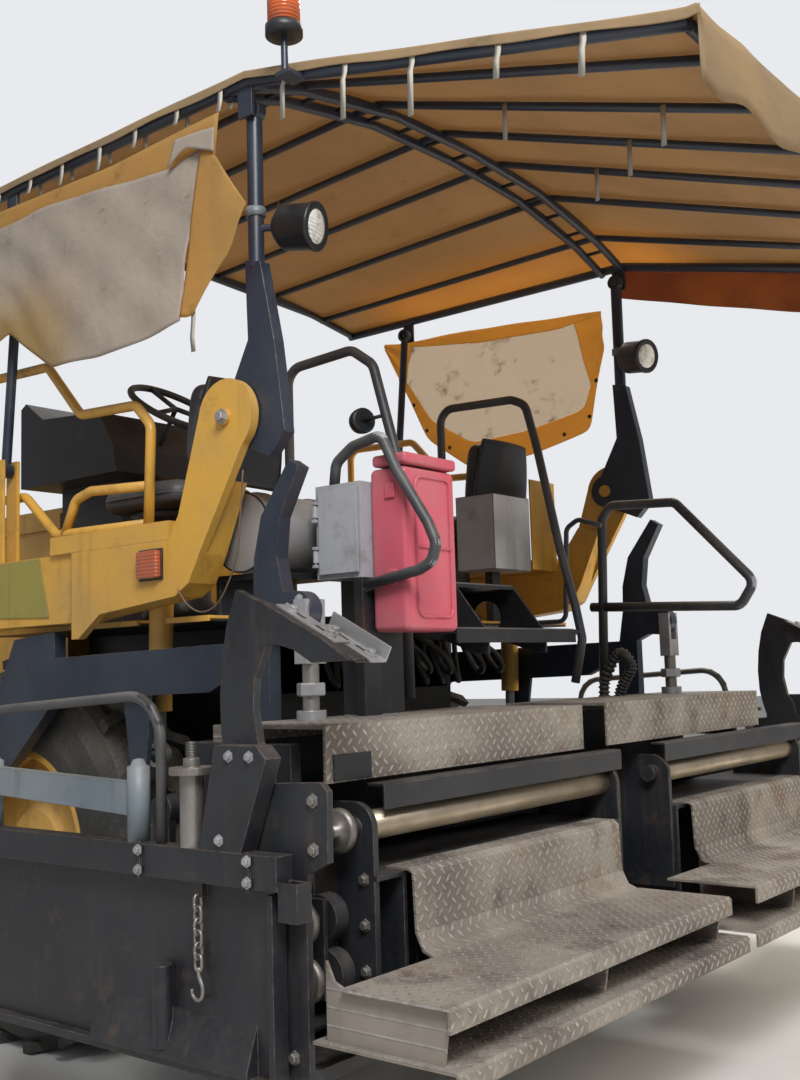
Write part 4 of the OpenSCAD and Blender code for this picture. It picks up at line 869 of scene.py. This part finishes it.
tie_y = np.linspace(-1.08, 1.08, 13)
tie_z = side_z + roof_rise * arch(tie_y) - ridge_drop
ridge_ties = [[(ridge_x, y, z), (ridge_x + ridge_gap, y, z)] for y, z in zip(tie_y, tie_z)]
tubes("ridge_ties", ridge_ties, 0.0085, black_frame, "roof", sides=10)
inner_ends = []
for x, y in ((-2.05, 0.6), (-2.30, 0.2), (-1.95, -0.2), (-2.62, 0.6), (-0.9, 0.6), (-0.6, 0.2)):
    z = float(roof_height(np.array(x), y))
    inner_ends.append([(x, y + 0.0165, z + 0.004), (x, y + 0.0175, z - 0.055),
                       (x + 0.004, y + 0.015, z - 0.125)])
ribbons("inner_strap_ends", inner_ends, lengthways, 0.018, webbing, "roof")
print("roof tubes:", len(side_tubes), "at the sides,", len(cross_tubes), "across,", len(rafter_tubes),
      "rafters")

# %% [markdown]
# ## Two seats
# The driver's seats are vinyl over foam, each with a base cushion and a back in a dark shell. A cushion is
# a swollen box: its outline is a rounded square that pulls in between its corners, its top is crowned, and
# sewn channels run across it. The formula is a superellipsoid, a sphere whose sines and cosines are raised
# to small powers so that it fills its corners. Piping follows the seam where the two halves meet.

# %% A padded cushion from two angles
both_sides = (("left", 1), ("right", -1))
corner = 0.42


def signed_power(s, e):
    """The size of s raised to e, with the sign of s kept."""
    return np.sign(s) * np.abs(s) ** e


def padded_form(centre, half, crown=0.018, channels=(), turn=0.0):
    """A closed grid: v runs from the underside to the top, u goes round; turn tilts it, in degrees."""
    v = np.radians(np.linspace(-90, 90, 41))[:, None]
    u = np.radians(np.linspace(0, 360, 96, endpoint=False))[None, :]
    x = signed_power(np.cos(v), 0.30) * signed_power(np.cos(u), corner)
    y = signed_power(np.cos(v), 0.30) * signed_power(np.sin(u), corner)
    z = signed_power(np.sin(v), 0.75) * np.ones_like(u)
    pull = 1 - 0.025 * np.cos(2 * u) ** 2
    form = np.stack([x * pull * half[0], y * pull * half[1], z * half[2]], -1)
    middle = np.clip(1 - x**2, 0, 1) * np.clip(1 - y**2, 0, 1) * (z > 0)
    form[..., 2] += crown * middle
    for at, depth in channels:
        form[..., 2] -= depth * np.exp(-((x - at) / 0.05) ** 2) * (z > 0)
    c, s = math.cos(math.radians(turn)), math.sin(math.radians(turn))
    return form @ np.array([[c, 0, -s], [0, 1, 0], [s, 0, c]]) + np.asarray(centre, float)


def cushion(name, *shape, **more):
    made = grid_piece(name, padded_form(*shape, **more), vinyl, "tractor", around=True, caps=True)
    return made


channels = ((-0.45, 0.006), (0.0, 0.007), (0.45, 0.006))
seat_x, seat_y, seat_z = -0.665, 0.850, 2.058
for label, side in both_sides:
    y = side * seat_y
    base = cushion("seat_base_" + label, (seat_x, y, seat_z), (0.232, 0.225, 0.052), channels=channels)
    cushion("seat_back_" + label, (-0.955, y, 2.285), (0.165, 0.205, 0.040), channels=channels, turn=-97)
    if side > 0:
        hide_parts("operator_seats")
    pipe = np.linspace(0, 2 * np.pi, 97)
    seam = np.stack([seat_x + 0.229 * signed_power(np.cos(pipe), corner),
                     y + 0.222 * signed_power(np.sin(pipe), corner), np.full(97, seat_z)], -1)
    grid_piece("seat_piping_" + label, circles(seam, 0.005, 8), vinyl, "tractor", around=True)
    u, v = np.meshgrid(np.linspace(-1, 1, 25), np.linspace(0, 1, 21), indexing="ij")
    shell = np.stack([-1.000 - 0.022 * (1 - u**2) - 0.050 * (v - 0.5),
                      y + 0.215 * u * (1 - 0.18 * v**3), 2.080 + 0.375 * v + 0.0 * u], -1)
    thicken(grid_piece("seat_shell_" + label, shell[::side], black_frame, "tractor"), 0.012, 0)
    profile = [(0.150, 1.601), (0.150, 1.640), (0.110, 1.680), (0.100, 1.940), (0.160, 1.975), (0.190, 2.005)]
    turned("seat_post_" + label, profile, [(-0.670, y, 0)], upright, black_frame, "tractor", sides=24)
    print("seat on the", label, "at Y =", y)

# %% [markdown]
# ## Lamps
# A round work lamp hangs on each rear mast, turned to the rear, a little inwards and down. Each is a turned
# housing with a bead round its front and a lens of its own. Dirt dulls a lens and fine ribs spread its
# light, so the same finish in three colours serves these lenses, the side lamp and the beacon.

# %% Lamps turned from a profile
def lens_finish(name, colour, rough=0.12):
    mix = Mixture(name)
    ribs = (mix.part(mix.place(), "Z") * 520).maths("SINE")
    dirt = mix.noise(mix.place(), 40, 5).ramp(0.45, 0.7)
    return mix.finish(Base_Color=mix.blend(dirt * 0.6, colour, (0.12, 0.10, 0.08)),
                      Roughness=(dirt * 0.5 + rough).clamp(), Normal=mix.bump(ribs, 0.002, 0.4),
                      Coat_Weight=0.5, Coat_Roughness=0.1)


clear_lens = lens_finish("clear lens", (0.62, 0.62, 0.60))
amber_lens = lens_finish("amber lens", (0.42, 0.085, 0.03))
beacon_lens = lens_finish("beacon lens", (0.55, 0.10, 0.02))
lamp_body = [(0.020, -0.088), (0.046, -0.082), (0.066, -0.064), (0.0745, -0.050), (0.0745, 0.049),
             (0.079, 0.052), (0.079, 0.062), (0.073, 0.065), (0.066, 0.061)]
lens = [(0.067, 0.0505), (0.062, 0.059), (0.040, 0.065), (0.015, 0.068)]
for label, side in both_sides:
    place, facing = (-1.5925, side * 1.1425, 2.8225), (-0.956, -0.2515 * side, -0.151)
    turned("mast_lamp_" + label, lamp_body, [place], facing, black_frame, "rear_masts", sides=36)
    turned("mast_lens_" + label, lens, [place], facing, clear_lens, "rear_masts", sides=36)
    print("work lamp on the", label, "mast at", place)

# %% [markdown]
# ## The control cabinet and the locker
# The cabinet is a sheet steel box with a folded door. The locker beside it is moulded plastic with a lid
# that stands inside a raised rim. Both are rounded boxes: a box whose corner radius is kept while its flat
# sides stretch. A grid over a sphere gives it, with each point moved outwards by the half sizes.

# %% Rounded boxes
def rounded_box(low, high, radius, steps=6):
    """A closed grid: points of a small sphere, each pushed out to its own corner of the box."""
    low, high = np.asarray(low, float), np.asarray(high, float)
    q = np.radians(np.linspace(0, 90, steps + 1))
    v = np.concatenate([q - np.pi / 2, q])
    up_side = np.concatenate([-np.ones(steps + 1), np.ones(steps + 1)])
    u = np.concatenate([q, q + np.pi / 2, q + np.pi, q + 1.5 * np.pi])
    sx = np.repeat([1, -1, -1, 1], steps + 1)
    sy = np.repeat([1, 1, -1, -1], steps + 1)
    middle, half = (low + high) / 2, (high - low) / 2 - radius
    x = radius * np.cos(v)[:, None] * np.cos(u) + sx * half[0]
    y = radius * np.cos(v)[:, None] * np.sin(u) + sy * half[1]
    z = radius * np.sin(v)[:, None] * np.ones_like(u) + (up_side * half[2])[:, None]
    return np.stack([x, y, z], -1) + middle


def box_piece(name, low, high, radius, finish, body, **more):
    return grid_piece(name, rounded_box(low, high, radius), finish, body, around=True, caps=True, **more)


print("a rounded box is a grid of", rounded_box((0, 0, 0), (1, 1, 1), 0.1).shape[:2], "points")

# %% [markdown]
# The locker's body and its lid stand for their plain solids, which stay for collisions. A raised rim runs
# round its rear face, and latches, hinges and a pin hold the lid. The cabinet stands on a dark pedestal,
# with a bent rail round it and a bigger one at the screed's other end.

# %% The locker with its lid, and the cabinet's dark parts
locker = box_piece("locker_body", (-1.800, 0.632, 1.520), (-1.652, 0.905, 2.050), 0.020, pink_plastic,
                   "screed")
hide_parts("locker_box")
lid = box_piece("locker_cap", (-1.806, 0.627, 2.056), (-1.664, 0.905, 2.094), 0.012, pink_plastic,
                "locker_lid")
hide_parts("locker_lid")
rim_x, rim_low, rim_high = -1.8005, 0.667, 0.850
corners = [(rim_x, rim_low, 1.566), (rim_x, rim_high, 1.566), (rim_x, rim_high, 2.020),
           (rim_x, rim_low, 2.020)]
middle = np.mean(corners[:2], axis=0)
rims = [rounded([middle, corners[1], corners[2], corners[3], corners[0], middle], 0.03),
        [(rim_x, rim_low, 1.790), (rim_x, rim_high, 1.790)]]
tubes("locker_rims", rims, 0.006, pink_plastic, "screed")
for k, z in enumerate((1.668, 1.948)):
    box_piece("locker_latch_%d" % k, (-1.762, 0.903, z), (-1.722, 0.913, z + 0.050), 0.003, pink_plastic,
              "screed")
for y in (0.650, 0.740):
    box_piece("locker_hinge_%d" % (y * 1000), (-1.658, y, 2.026), (-1.631, y + 0.010, 2.073), 0.002,
              bare_steel, "screed")
turned("locker_pin", [(0.005, 0), (0.005, 0.100)], [(-1.640, 0.650, 2.064)], sideways, bare_steel, "screed")
box_piece("cabinet_pedestal", (-1.611, 0.699, 1.256), (-1.479, 0.861, 1.6995), 0.003, black_frame, "screed")
small_rail = rounded(in_plane(0.930, [(-1.524, 2.0125), (-1.534, 2.085), (-1.607, 2.131), (-1.730, 2.153),
                                      (-1.785, 2.039), (-1.908, 1.851), (-1.938, 1.784), (-1.919, 1.729),
                                      (-1.870, 1.707), (-1.651, 1.671)]), 0.045, 8)
big_rail = rounded(in_plane(-0.950, [(-1.440, 1.2065), (-1.473, 2.052), (-1.518, 2.110), (-1.834, 2.091),
                                     (-2.176, 1.720), (-2.109, 1.623), (-1.400, 1.655)]), 0.05, 8)
tubes("cabinet_tube", [small_rail], 0.0178, worn_rail, "screed", sides=18)
tubes("screed_rail", [big_rail], 0.0208, worn_rail, "screed", sides=18)
print("points on the screed's two rails:", len(small_rail), "and", len(big_rail))

# %% [markdown]
# ## Plates cut to an outline
# Brackets, number plates and hinges are flat plates. An outline in X and Z, carried from one Y to another,
# is two copies of its points: one face each way and a quad along every edge. The signed area tells which
# way round the outline runs, so the faces always look outwards.

# %% Many plates in one piece
def plates(name, cuts, finish, body, **more):
    """Each cut is an outline in X and Z with its low and its high Y."""
    points, faces, first = [], [], 0
    for outline, low, high in cuts:
        o = np.asarray(outline, float)
        area = np.sum(o[:, 0] * np.roll(o[:, 1], -1) - np.roll(o[:, 0], -1) * o[:, 1])
        o = o if area > 0 else o[::-1]
        n = len(o)
        points += [np.stack([o[:, 0], np.full(n, y), o[:, 1]], -1) for y in (low, high)]
        faces += [list(range(first, first + n)), list(range(first + n, first + 2 * n))[::-1]]
        faces += [[first + k, first + n + k, first + n + (k + 1) % n, first + (k + 1) % n] for k in range(n)]
        first += 2 * n
    return piece(name, np.vstack(points), faces, finish, body, smooth=False, **more)


def strip(a, b, width):
    """The outline of a flat bar between two points in X and Z."""
    a, b = np.asarray(a, float), np.asarray(b, float)
    along = (b - a) / np.linalg.norm(b - a)
    out = np.array([-along[1], along[0]]) * width / 2
    return [a + out, b + out, b - out, a - out]


print("a flat bar of 1 m by 0.1 m:", [p.tolist() for p in strip((0, 0), (1, 0), 0.1)])

# %% [markdown]
# ## The end gates
# A gate closes each end of the screed, so that the mix can't run out. It hangs on two posts and a jack,
# whose thread shows above its nut. The right extension is drawn out by 385 mm here and the left one is
# in, so every place on an end is reckoned from the basic screed, with that stroke added.

# %% The end gates' bars, lips and bolts
right_stroke = 0.385
both_ends = (("left", 1, 0.0), ("right", -1, right_stroke))
gate_plane, post_y = 1.650, 0.030
for label, side, out in both_ends:
    gate = "end_gate_" + label
    g = lambda y: side * (gate_plane + y + out)
    channel = [(-1.4055, 1.1087), (-1.4055, 1.0183), (-0.7195, 1.0513), (-0.7195, 1.1347)]
    y0, y1 = sorted((g(0.0113), g(0.0487)))
    plates("gate_channel_" + label, [(channel, y0, y1)], blue_grey, gate)
    post = [(0.0317, 0.947), (0.0317, 1.1525), (0.022, 1.156), (0.016, 1.171), (0.006, 1.174)]
    turned("gate_posts_" + label, post, [(x, g(post_y), 0) for x in (-1.433, -0.720)], upright, blue_grey,
           gate, sides=28)
    bend = rounded(in_plane(g(post_y), [(-1.531, 0.946), (-1.528, 1.354), (-0.665, 1.306),
                                        (-0.660, 0.946)]), 0.13, 10)
    tubes("gate_rail_" + label, [bend], 0.0147, worn_rail, gate, sides=18, slot="screed_steel")
    jack = [(0.0327, 0.947), (0.0327, 1.1375), (0.0607, 1.1375), (0.0607, 1.1565), (0.023, 1.1565),
            (0.023, 1.179), (0.0137, 1.182)]
    jack += [(0.0137 - 0.0016 * (k % 2), 1.182 + 0.002 * k) for k in range(21)] + [(0.004, 1.224)]
    turned("gate_jack_" + label, jack, [(-1.655, g(post_y), 0)], upright, bare_steel, gate, sides=28,
           smooth=False)
    beam_bolts = [(x, g(0.0662), z) for x in (-1.899, -1.474) for z in (0.878, 0.931)]
    beam_bolts += [(x, g(0.0582), z) for x, z in ((-1.790, 0.975), (-1.830, 1.190), (-1.905, 1.190))]
    bolts("gate_bolts_" + label, beam_bolts, (0, side, 0), 0.019, zinc, gate)
    print("gate on the", label, "with", len(beam_bolts), "bolts")

# %% [markdown]
# A short chain with a hook hangs on the left gate. A link is one closed tube, turned a quarter against
# the next, so the same path serves them all. The hook is a curve through seven points, thinner at its tip.

# %% A chain with a hook on the left gate
chain_x, chain_y, link_pitch = -1.685, 1.690, 0.031


def loop(centre, half, width, flat):
    """A link's path: two straight legs and two round ends; flat is the direction across the link."""
    t = np.linspace(0, 2 * np.pi, 33)
    long = half * signed_power(np.sin(t), 0.8)
    wide = width * signed_power(np.cos(t), 0.7)
    return centre + wide[:, None] * np.asarray(flat, float) + long[:, None] * np.asarray(upright, float)


links = [loop((chain_x, chain_y, 0.806 - link_pitch * k), 0.0205, 0.0125, lengthways if k % 2 else sideways)
         for k in range(6)]
hook = flowing(in_plane(chain_y, [(chain_x, 0.640), (-1.687, 0.618), (-1.700, 0.590), (-1.697, 0.566),
                                  (-1.680, 0.556), (-1.662, 0.565), (-1.657, 0.582)]), 24)
tubes("gate_chain", links, 0.0045, bare_steel, "end_gate_left", sides=8)
tubes("gate_hook", [hook], np.linspace(0.0062, 0.0044, 24), bare_steel, "end_gate_left", sides=10)
print("chain links:", len(links))

# %% [markdown]
# ## Brackets and screws on the screed
# The arc arm of each extension slopes down beside the basic screed. Slotted brackets are bolted on its
# flange, so their places are reckoned along the slope and square to it. A slot is a thin dark plate just
# over the steel, painted shade that looks like an opening from any side and needs no hole in the mesh. The
# spindles that tilt the screed are screws: a profile whose radius steps in and out all the way up.

# %% Brackets and bolts round the spindles
arm_top = np.array([-1.901, 1.584])
slope = np.array([-0.8857, -0.464])
square_to = np.array([-0.464, 0.8857])
outer_face, inner_face = 0.0064, 0.0001
outer_slot, inner_slot = (1.585, 1.597), (1.534, 1.546)


def on_arm(along, above):
    """A point on the arc arm's sloping flange, by its distance from the top and its height over it."""
    return arm_top + along * slope + above * square_to


def on_slope(start, end, above, thick):
    """The outline of a plate that lies along the flange from start to end, at a height over it."""
    return strip(on_arm(start, above), on_arm(end, above), thick)


for label, side, out in both_ends:
    arm = "extension_" + label
    g = lambda low, high: tuple(sorted((side * (low + out), side * (high + out))))
    brackets = [(on_slope(0.020, 0.250, 0.0035, 0.006), *g(1.560, 1.617)),
                (on_slope(0.130, 0.345, -0.0030, 0.006), *g(1.512, 1.5745)),
                (on_slope(0.130, 0.345, 0.0170, 0.040), *g(1.512, 1.518))]
    plates("arm_brackets_" + label, brackets, zinc, arm)
    # Painted shade: each slot is a black plate, the dark of an opening.
    slots = [(on_slope(start, end, above, 0.0006), *g(*wide)) for start, end, above, wide in (
        (0.045, 0.110, outer_face, outer_slot), (0.150, 0.225, outer_face, outer_slot),
        (0.160, 0.225, inner_face, inner_slot), (0.255, 0.325, inner_face, inner_slot))]
    plates("arm_slots_" + label, slots, black_frame, arm)
    heads = [(along, 1.591, 0.0070) for along in (0.060, 0.205)]
    heads += [(along, 1.540, 0.0005) for along in (0.175, 0.310)]
    spots = [(on_arm(along, h)[0], side * (y + out), on_arm(along, h)[1]) for along, y, h in heads]
    bolts("arm_bolts_" + label, spots, (square_to[0], 0, square_to[1]), 0.022, zinc, arm)

spindle_x, spindle_y = -1.650, 1.200
disc_x, disc_z, bolt_circle = -1.620, 1.585, 0.040
thread = [(0.0246 + 0.0022 * (k % 2), 1.286 + 0.003 * k) for k in range(50)]
screw = [(0.0246, 1.2845)] + thread + [(0.0246, 1.4395)]
nut = [(0.040, 1.328), (0.044, 1.332), (0.044, 1.364), (0.040, 1.368)]
for label, side in both_sides:
    disc = [(disc_x + bolt_circle * math.cos(a), side * 1.2252, disc_z + bolt_circle * math.sin(a))
            for a in np.radians([20, 110, 200])]
    bolts("disc_bolts_" + label, disc, (0, side, 0), 0.018, zinc, "screed")
    foot = [(spindle_x, side * spindle_y, 0)]
    turned("spindle_screw_" + label, screw, foot, upright, bare_steel, "screed", sides=24)
    turned("spindle_nut_" + label, nut, foot, upright, zinc, "screed", sides=6, smooth=False)
print("profile points on a spindle:", len(screw))

# %% [markdown]
# Bolts hold the carrier brackets and the side plates of each extension, and caps close the ends of the
# tubes that it slides on. One tube is polished by use, so a sleeve with a bright finish goes over it.

# %% Bolts and hubs on the extensions
slide_x, slide_z = -1.950, 0.975
for label, side, out in both_ends:
    carrier = "extension_" + label
    e = lambda y: side * (y + out)
    heads = [(x, e(1.3655), z) for x in (-1.985, -1.730) for z in (0.600, 0.720, 0.840)]
    heads += [(x, e(1.6405), z) for x, z in ((-1.470, 0.450), (-1.470, 0.800), (-1.980, 0.450),
                                             (-1.980, 0.790), (-2.060, 1.080), (-2.060, 0.960))]
    bolts("carrier_bolts_" + label, heads, (0, side, 0), 0.022, bare_steel, carrier)
    cap = [(0.032, 0), (0.032, 0.010), (0.060, 0.012), (0.060, 0.026), (0.050, 0.032), (0.018, 0.034),
           (0.018, 0.050), (0.006, 0.052)]
    cap_at = ((1.4055, slide_x, slide_z), (1.5005, -1.895, 0.745), (1.5005, -1.910, 0.600))
    for k, (y, x, z) in enumerate(cap_at):
        turned("carrier_cap_%s_%d" % (label, k), cap, [(x, e(y), z)], (0, side, 0), bare_steel, carrier,
               sides=28)
    sleeve = [(0.0407, 0.021), (0.0407, 1.3445)]
    turned("bright_tube_" + label, sleeve, [(slide_x, side * out, slide_z)], (0, side, 0), bright_steel,
           carrier, sides=36)
    print("extension on the", label, "with", len(heads), "bolts")

# %% [markdown]
# ## Small things on the tractor
# The two steps are gratings: dark trays with steel bars across. Round them stand the silver drum, a filter
# box and the right side's panel. The left side carries the amber lamp and a number plate, which is left
# blank here, and a thin brown cable hangs in a loop on the swan neck.

# %% Steps, side lamp, plate and cables
bars = [(strip((x, 1.7200), (x, 1.7265), 0.006), -0.236, 0.159) for x in -1.440 + 0.030 * np.arange(10)]
bars += [(strip((x, 1.5400), (x, 1.5455), 0.006), -0.448, 0.365) for x in -1.590 + 0.026 * np.arange(7)]
plates("step_bars", bars, bare_steel, "tractor")
step_tops = [([(-1.4505, 1.7202), (-1.4505, 1.7075), (-1.1195, 1.7075), (-1.1195, 1.7202)], -0.2435, 0.1665),
             ([(-1.6005, 1.5402), (-1.6005, 1.4895), (-1.5915, 1.4895), (-1.5915, 1.5275), (-1.3995, 1.5275),
               (-1.3995, 1.5402)], -0.4555, 0.3725)]
plates("step_covers", step_tops, black_frame, "tractor")
drum_x, drum_z = -1.275, 1.866
drum = [(0.020, -0.0006), (0.128, -0.0006), (0.1354, 0.006), (0.1354, 0.385), (0.128, 0.3906), (0.02, 0.3906)]
turned("drum_sleeve", drum, [(drum_x, 0.730, drum_z)], sideways, drum_metal, "tractor", sides=48)
box_piece("filter_box", (-1.2407, -0.7047, 1.8193), (-1.0393, -0.4173, 2.1507), 0.006, cabinet_grey,
          "tractor")
plates("right_panel", [([(-1.106, 1.850), (-1.106, 2.280), (-1.100, 2.280), (-1.100, 1.850)], -1.1495,
                        -0.930)], mustard, "tractor")
box_piece("cabinet_post", (-1.6507, 0.8693, 1.2555), (-1.6113, 0.9487, 1.6995), 0.002, black_frame, "screed")
box_piece("side_lamp", (-1.054, 1.2705, 1.725), (-0.948, 1.298, 1.818), 0.008, amber_lens, "tractor")
plates("side_lamp_base", [([(-1.060, 1.719), (-0.942, 1.719), (-0.942, 1.824), (-1.060, 1.824)], 1.2702,
                           1.2765)], black_frame, "tractor")
plates("blank_plate", [([(-0.005, 1.846), (-0.343, 1.846), (-0.400, 1.626), (-0.031, 1.640)], 1.2505,
                        1.2545)], olive, "tractor")
bolts("neck_bolts", [(-1.365, s * 1.2823, 2.218) for s in (1, -1)], sideways, 0.030, zinc, "tractor")
brown_cable = plain_finish("brown cable", (0.16, 0.085, 0.045), (0.11, 0.07, 0.045), 0.5, grain=200, dust=0.3)
cable = flowing(in_plane(1.276, [(-1.451, 2.035), (-1.434, 1.879), (-1.413, 1.755), (-1.338, 1.634),
                                 (-1.258, 1.601), (-1.187, 1.627), (-1.139, 1.679)]), 60)
tubes("neck_cable", [cable], 0.0028, brown_cable, "tractor", sides=8)
print("grating bars:", len(bars), "cable:",
      round(float(np.linalg.norm(np.diff(cable, axis=0), axis=1).sum()), 2), "m")

# %% [markdown]
# ## Hoses under the platform
# Hydraulic hoses leave the platform's underside, hang in slack loops and go back up. Each is a smooth
# curve through a few points, moved along Y, with its own thickness. The ribbed hose is one tube too: its
# radius jumps between two values along its length.

# %% Hoses under the platform
hose_ends = [(0.52, 0.010), (0.44, 0.014), (0.36, 0.010), (0.28, 0.012), (0.20, 0.016), (0.05, 0.010),
             (-0.08, 0.012), (-0.30, 0.013), (-0.44, 0.011)]
for k, (y, r) in enumerate(hose_ends):
    slack = flowing([(-1.130, y, 1.575), (-1.150, y + 0.02, 1.500), (-1.240, y + 0.05, 1.415 - 2 * r),
                     (-1.320, y + 0.12, 1.400), (-1.330, y + 0.19, 1.460), (-1.240, y + 0.23, 1.530),
                     (-1.150, y + 0.24, 1.578)], 44)
    tubes("platform_hose_%d" % k, [slack], r, hose_rubber, "tractor", sides=10)
back_hoses = [flowing([(-1.000, y, 1.590), (-1.030, y + 0.03, 1.430), (-1.080, y + 0.08, 1.345),
                       (-1.100, y + 0.15, 1.400), (-1.060, y + 0.19, 1.590)], 32)
              for y in np.linspace(-0.42, 0.36, 8)]
tubes("platform_back_hoses", back_hoses, 0.0115, hose_rubber, "tractor", sides=9)
ribs = flowing([(-1.470, -0.900, 1.2065), (-1.480, -0.900, 1.330), (-1.555, -0.900, 1.440),
                (-1.608, -0.905, 1.383), (-1.560, -0.910, 1.300), (-1.520, -0.910, 1.2065)], 150)
rib_radius = 0.0225 + 0.0035 * np.sign(np.sin(np.arange(150) * 1.3))
tubes("ribbed_hose", [ribs], rib_radius, hose_rubber, "screed", sides=14)
print("hoses:", len(hose_ends) + len(back_hoses) + 1)

# %% [markdown]
# ## The drum's bands, the beacon, the clamps and the loose strap ends
# Two steel bands hold the drum. The beacon is an orange cover on a black base, turned from a profile as
# the bands are. A clamp sits on each rear mast. Behind the ridge the roof's straps are loose: their ends
# hang outside the side tube, where they stay clear of the masts when the canopy folds.

# %% The drum's bands, the beacon, the clamps and the loose strap ends
drum_band = [(0.1350, -0.014), (0.140, -0.012), (0.140, 0.012), (0.1350, 0.014)]
for y in (0.800, 1.050):
    turned("drum_band_%d" % (y * 1000), drum_band, [(drum_x, y, drum_z)], sideways, bare_steel, "tractor",
           sides=48)
beacon_at = [(-1.700, 1.310, 0)]
turned("beacon_base", [(0.030, 3.358), (0.0587, 3.3595), (0.0587, 3.3905), (0.052, 3.394)], beacon_at,
       upright, black_frame, "roof", sides=36)
turned("beacon_cover", [(0.051, 3.391), (0.0515, 3.500), (0.047, 3.518), (0.030, 3.5215), (0.008, 3.522)],
       beacon_at, upright, beacon_lens, "roof", sides=36)
clamp = [(0.0265, 2.868), (0.033, 2.870), (0.033, 2.898), (0.0265, 2.900)]
clamps_at = [(-1.4635, s * 1.212, 0) for s in (1, -1)]
turned("mast_clamp", clamp, clamps_at, upright, blue_grey, "rear_masts", sides=24, slot="navy_paint")
rear_run = 1.514
loose = []
for x, length in ((-1.663, 0.15), (-1.913, 0.17), (-2.167, 0.18), (-2.46, 0.10), (-2.72, 0.12)):
    z = side_z + rear_drop * (x - ridge_x) / rear_run
    end = (x + 0.006, roof_half + 0.030, z - length)
    loose.append(np.vstack([[end], over_tube(x, roof_half, z, 0.0225, 0.05, 0.004)]))
ribbons("strap_ends", loose, lengthways, 0.020, webbing, "roof")
mast_strap = [(-1.270, 1.3125, 2.600), (-1.272, 1.3140, 2.549), (-1.268, 1.3165, 2.490),
              (-1.272, 1.3150, 2.441)]
ribbons("mast_strap", [mast_strap], lengthways, 0.020, webbing, "roof")
print("loose strap ends:", len(loose))

# %% [markdown]
# ## Horn, steering wheel and flap
# The horn is a small bell on a stalk, turned from a profile about a slanting axis. The steering wheel is
# a tube along a tilted circle, with three spokes and its column. A dark flap hangs over the deck's edge.

# %% Horn, steering wheel and flap
wheel_x, wheel_y, wheel_z, wheel_radius = -0.470, 0.700, 2.475, 0.190
horn = [(0.010, -0.045), (0.030, -0.040), (0.044, -0.018), (0.047, 0.000), (0.047, 0.016), (0.038, 0.020),
        (0.012, 0.012)]
turned("horn", horn, [(-1.370, 0.600, 2.300)], (-0.9, 0.35, 0), black_frame, "tractor", sides=32)
tubes("horn_stalk", [[(-1.475, 0.600, 2.306), (-1.365, 0.600, 2.300)]], 0.007, black_frame, "tractor")
a = np.linspace(0, 2 * np.pi, 49)
tilt = math.radians(35)
ring = np.stack([wheel_x + wheel_radius * np.cos(a) * math.cos(tilt), wheel_y + wheel_radius * np.sin(a),
                 wheel_z + wheel_radius * np.cos(a) * math.sin(tilt)], -1)
column = [(-0.330, wheel_y, 2.275), (wheel_x, wheel_y, wheel_z)]
spokes = [[column[1], tuple(ring[k])] for k in (0, 16, 32)]
tubes("steering_wheel", [ring], 0.014, hose_rubber, "tractor", sides=10)
tubes("steering_spokes", spokes + [column], 0.010, black_frame, "tractor", sides=10)
plates("deck_flap", [([(-1.9405, 1.104), (-1.9405, 1.175), (-1.9455, 1.175), (-1.9455, 1.104)], 1.275,
                      1.430)], black_frame, "screed")
print("steering wheel at", column[1], "with", len(spokes), "spokes")

# %% [markdown]
# ## Light and floor
# Pale studio light comes from large soft lamps: one above and behind the camera, one over the canopy, and
# one low from the far side, whose warm light glows through the canvas. The world is brighter where the
# camera looks straight at it than where it lights the machine. The floor is a plain pale plane that keeps
# the shadow.

# %% Light the machine
light_level, backdrop_level = 0.36, 0.85
world = bpy.data.worlds.new("studio")
bpy.context.scene.world = world
world.use_nodes = True
tree = world.node_tree
sky = tree.nodes["Background"]
path = tree.nodes.new("ShaderNodeLightPath")
level = tree.nodes.new("ShaderNodeMapRange")
tree.links.new(path.outputs["Is Camera Ray"], level.inputs["Value"])
level.inputs["To Min"].default_value = light_level
level.inputs["To Max"].default_value = backdrop_level
sky.inputs["Color"].default_value = (0.95, 0.97, 1.0, 1)
tree.links.new(level.outputs["Result"], sky.inputs["Strength"])


def lamp(name, place, target, size, power, colour=(1, 1, 1)):
    """A square soft lamp at a place, turned to shine at a target."""
    light = bpy.data.lights.new(name, "AREA")
    light.size = size
    light.energy = power
    light.color = colour
    made = bpy.data.objects.new(name, light)
    made.location = place
    made.rotation_euler = (Vector(target) - Vector(place)).to_track_quat("-Z", "Y").to_euler()
    bpy.context.scene.collection.objects.link(made)
    return made


lamp("key", (-6, 5, 7), (-1.2, 0, 1.4), 3, 680)
low_sun = lamp("low sun", (-5.5, -6.5, 2.6), (-1.8, -0.5, 1.3), 2.0, 480, (1.0, 0.9, 0.75))
low_sun.visible_glossy = False
lamp("over the canopy", (0, -3, 8), (-1, 0, 2.5), 4, 420, (1.0, 0.97, 0.92))

ground = Mixture("pale floor")
shade = ground.noise(ground.place(), 0.7, 4)
ground.finish(Base_Color=ground.blend(shade.ramp(0.3, 0.7), (0.60, 0.59, 0.57), (0.66, 0.65, 0.63)),
              Roughness=0.9)
floor_mesh = bpy.data.meshes.new("floor")
reach = 40
floor_mesh.from_pydata([(-reach, -reach, 0), (reach, -reach, 0), (reach, reach, 0), (-reach, reach, 0)], [],
                       [(0, 1, 2, 3)])
floor_mesh.materials.append(ground.material)
floor = bpy.data.objects.new("floor", floor_mesh)
bpy.context.scene.collection.objects.link(floor)
bpy.context.scene.view_settings.view_transform = "Standard"
print("lamps:", len(bpy.data.lights), "floor:", 2 * reach, "m wide")
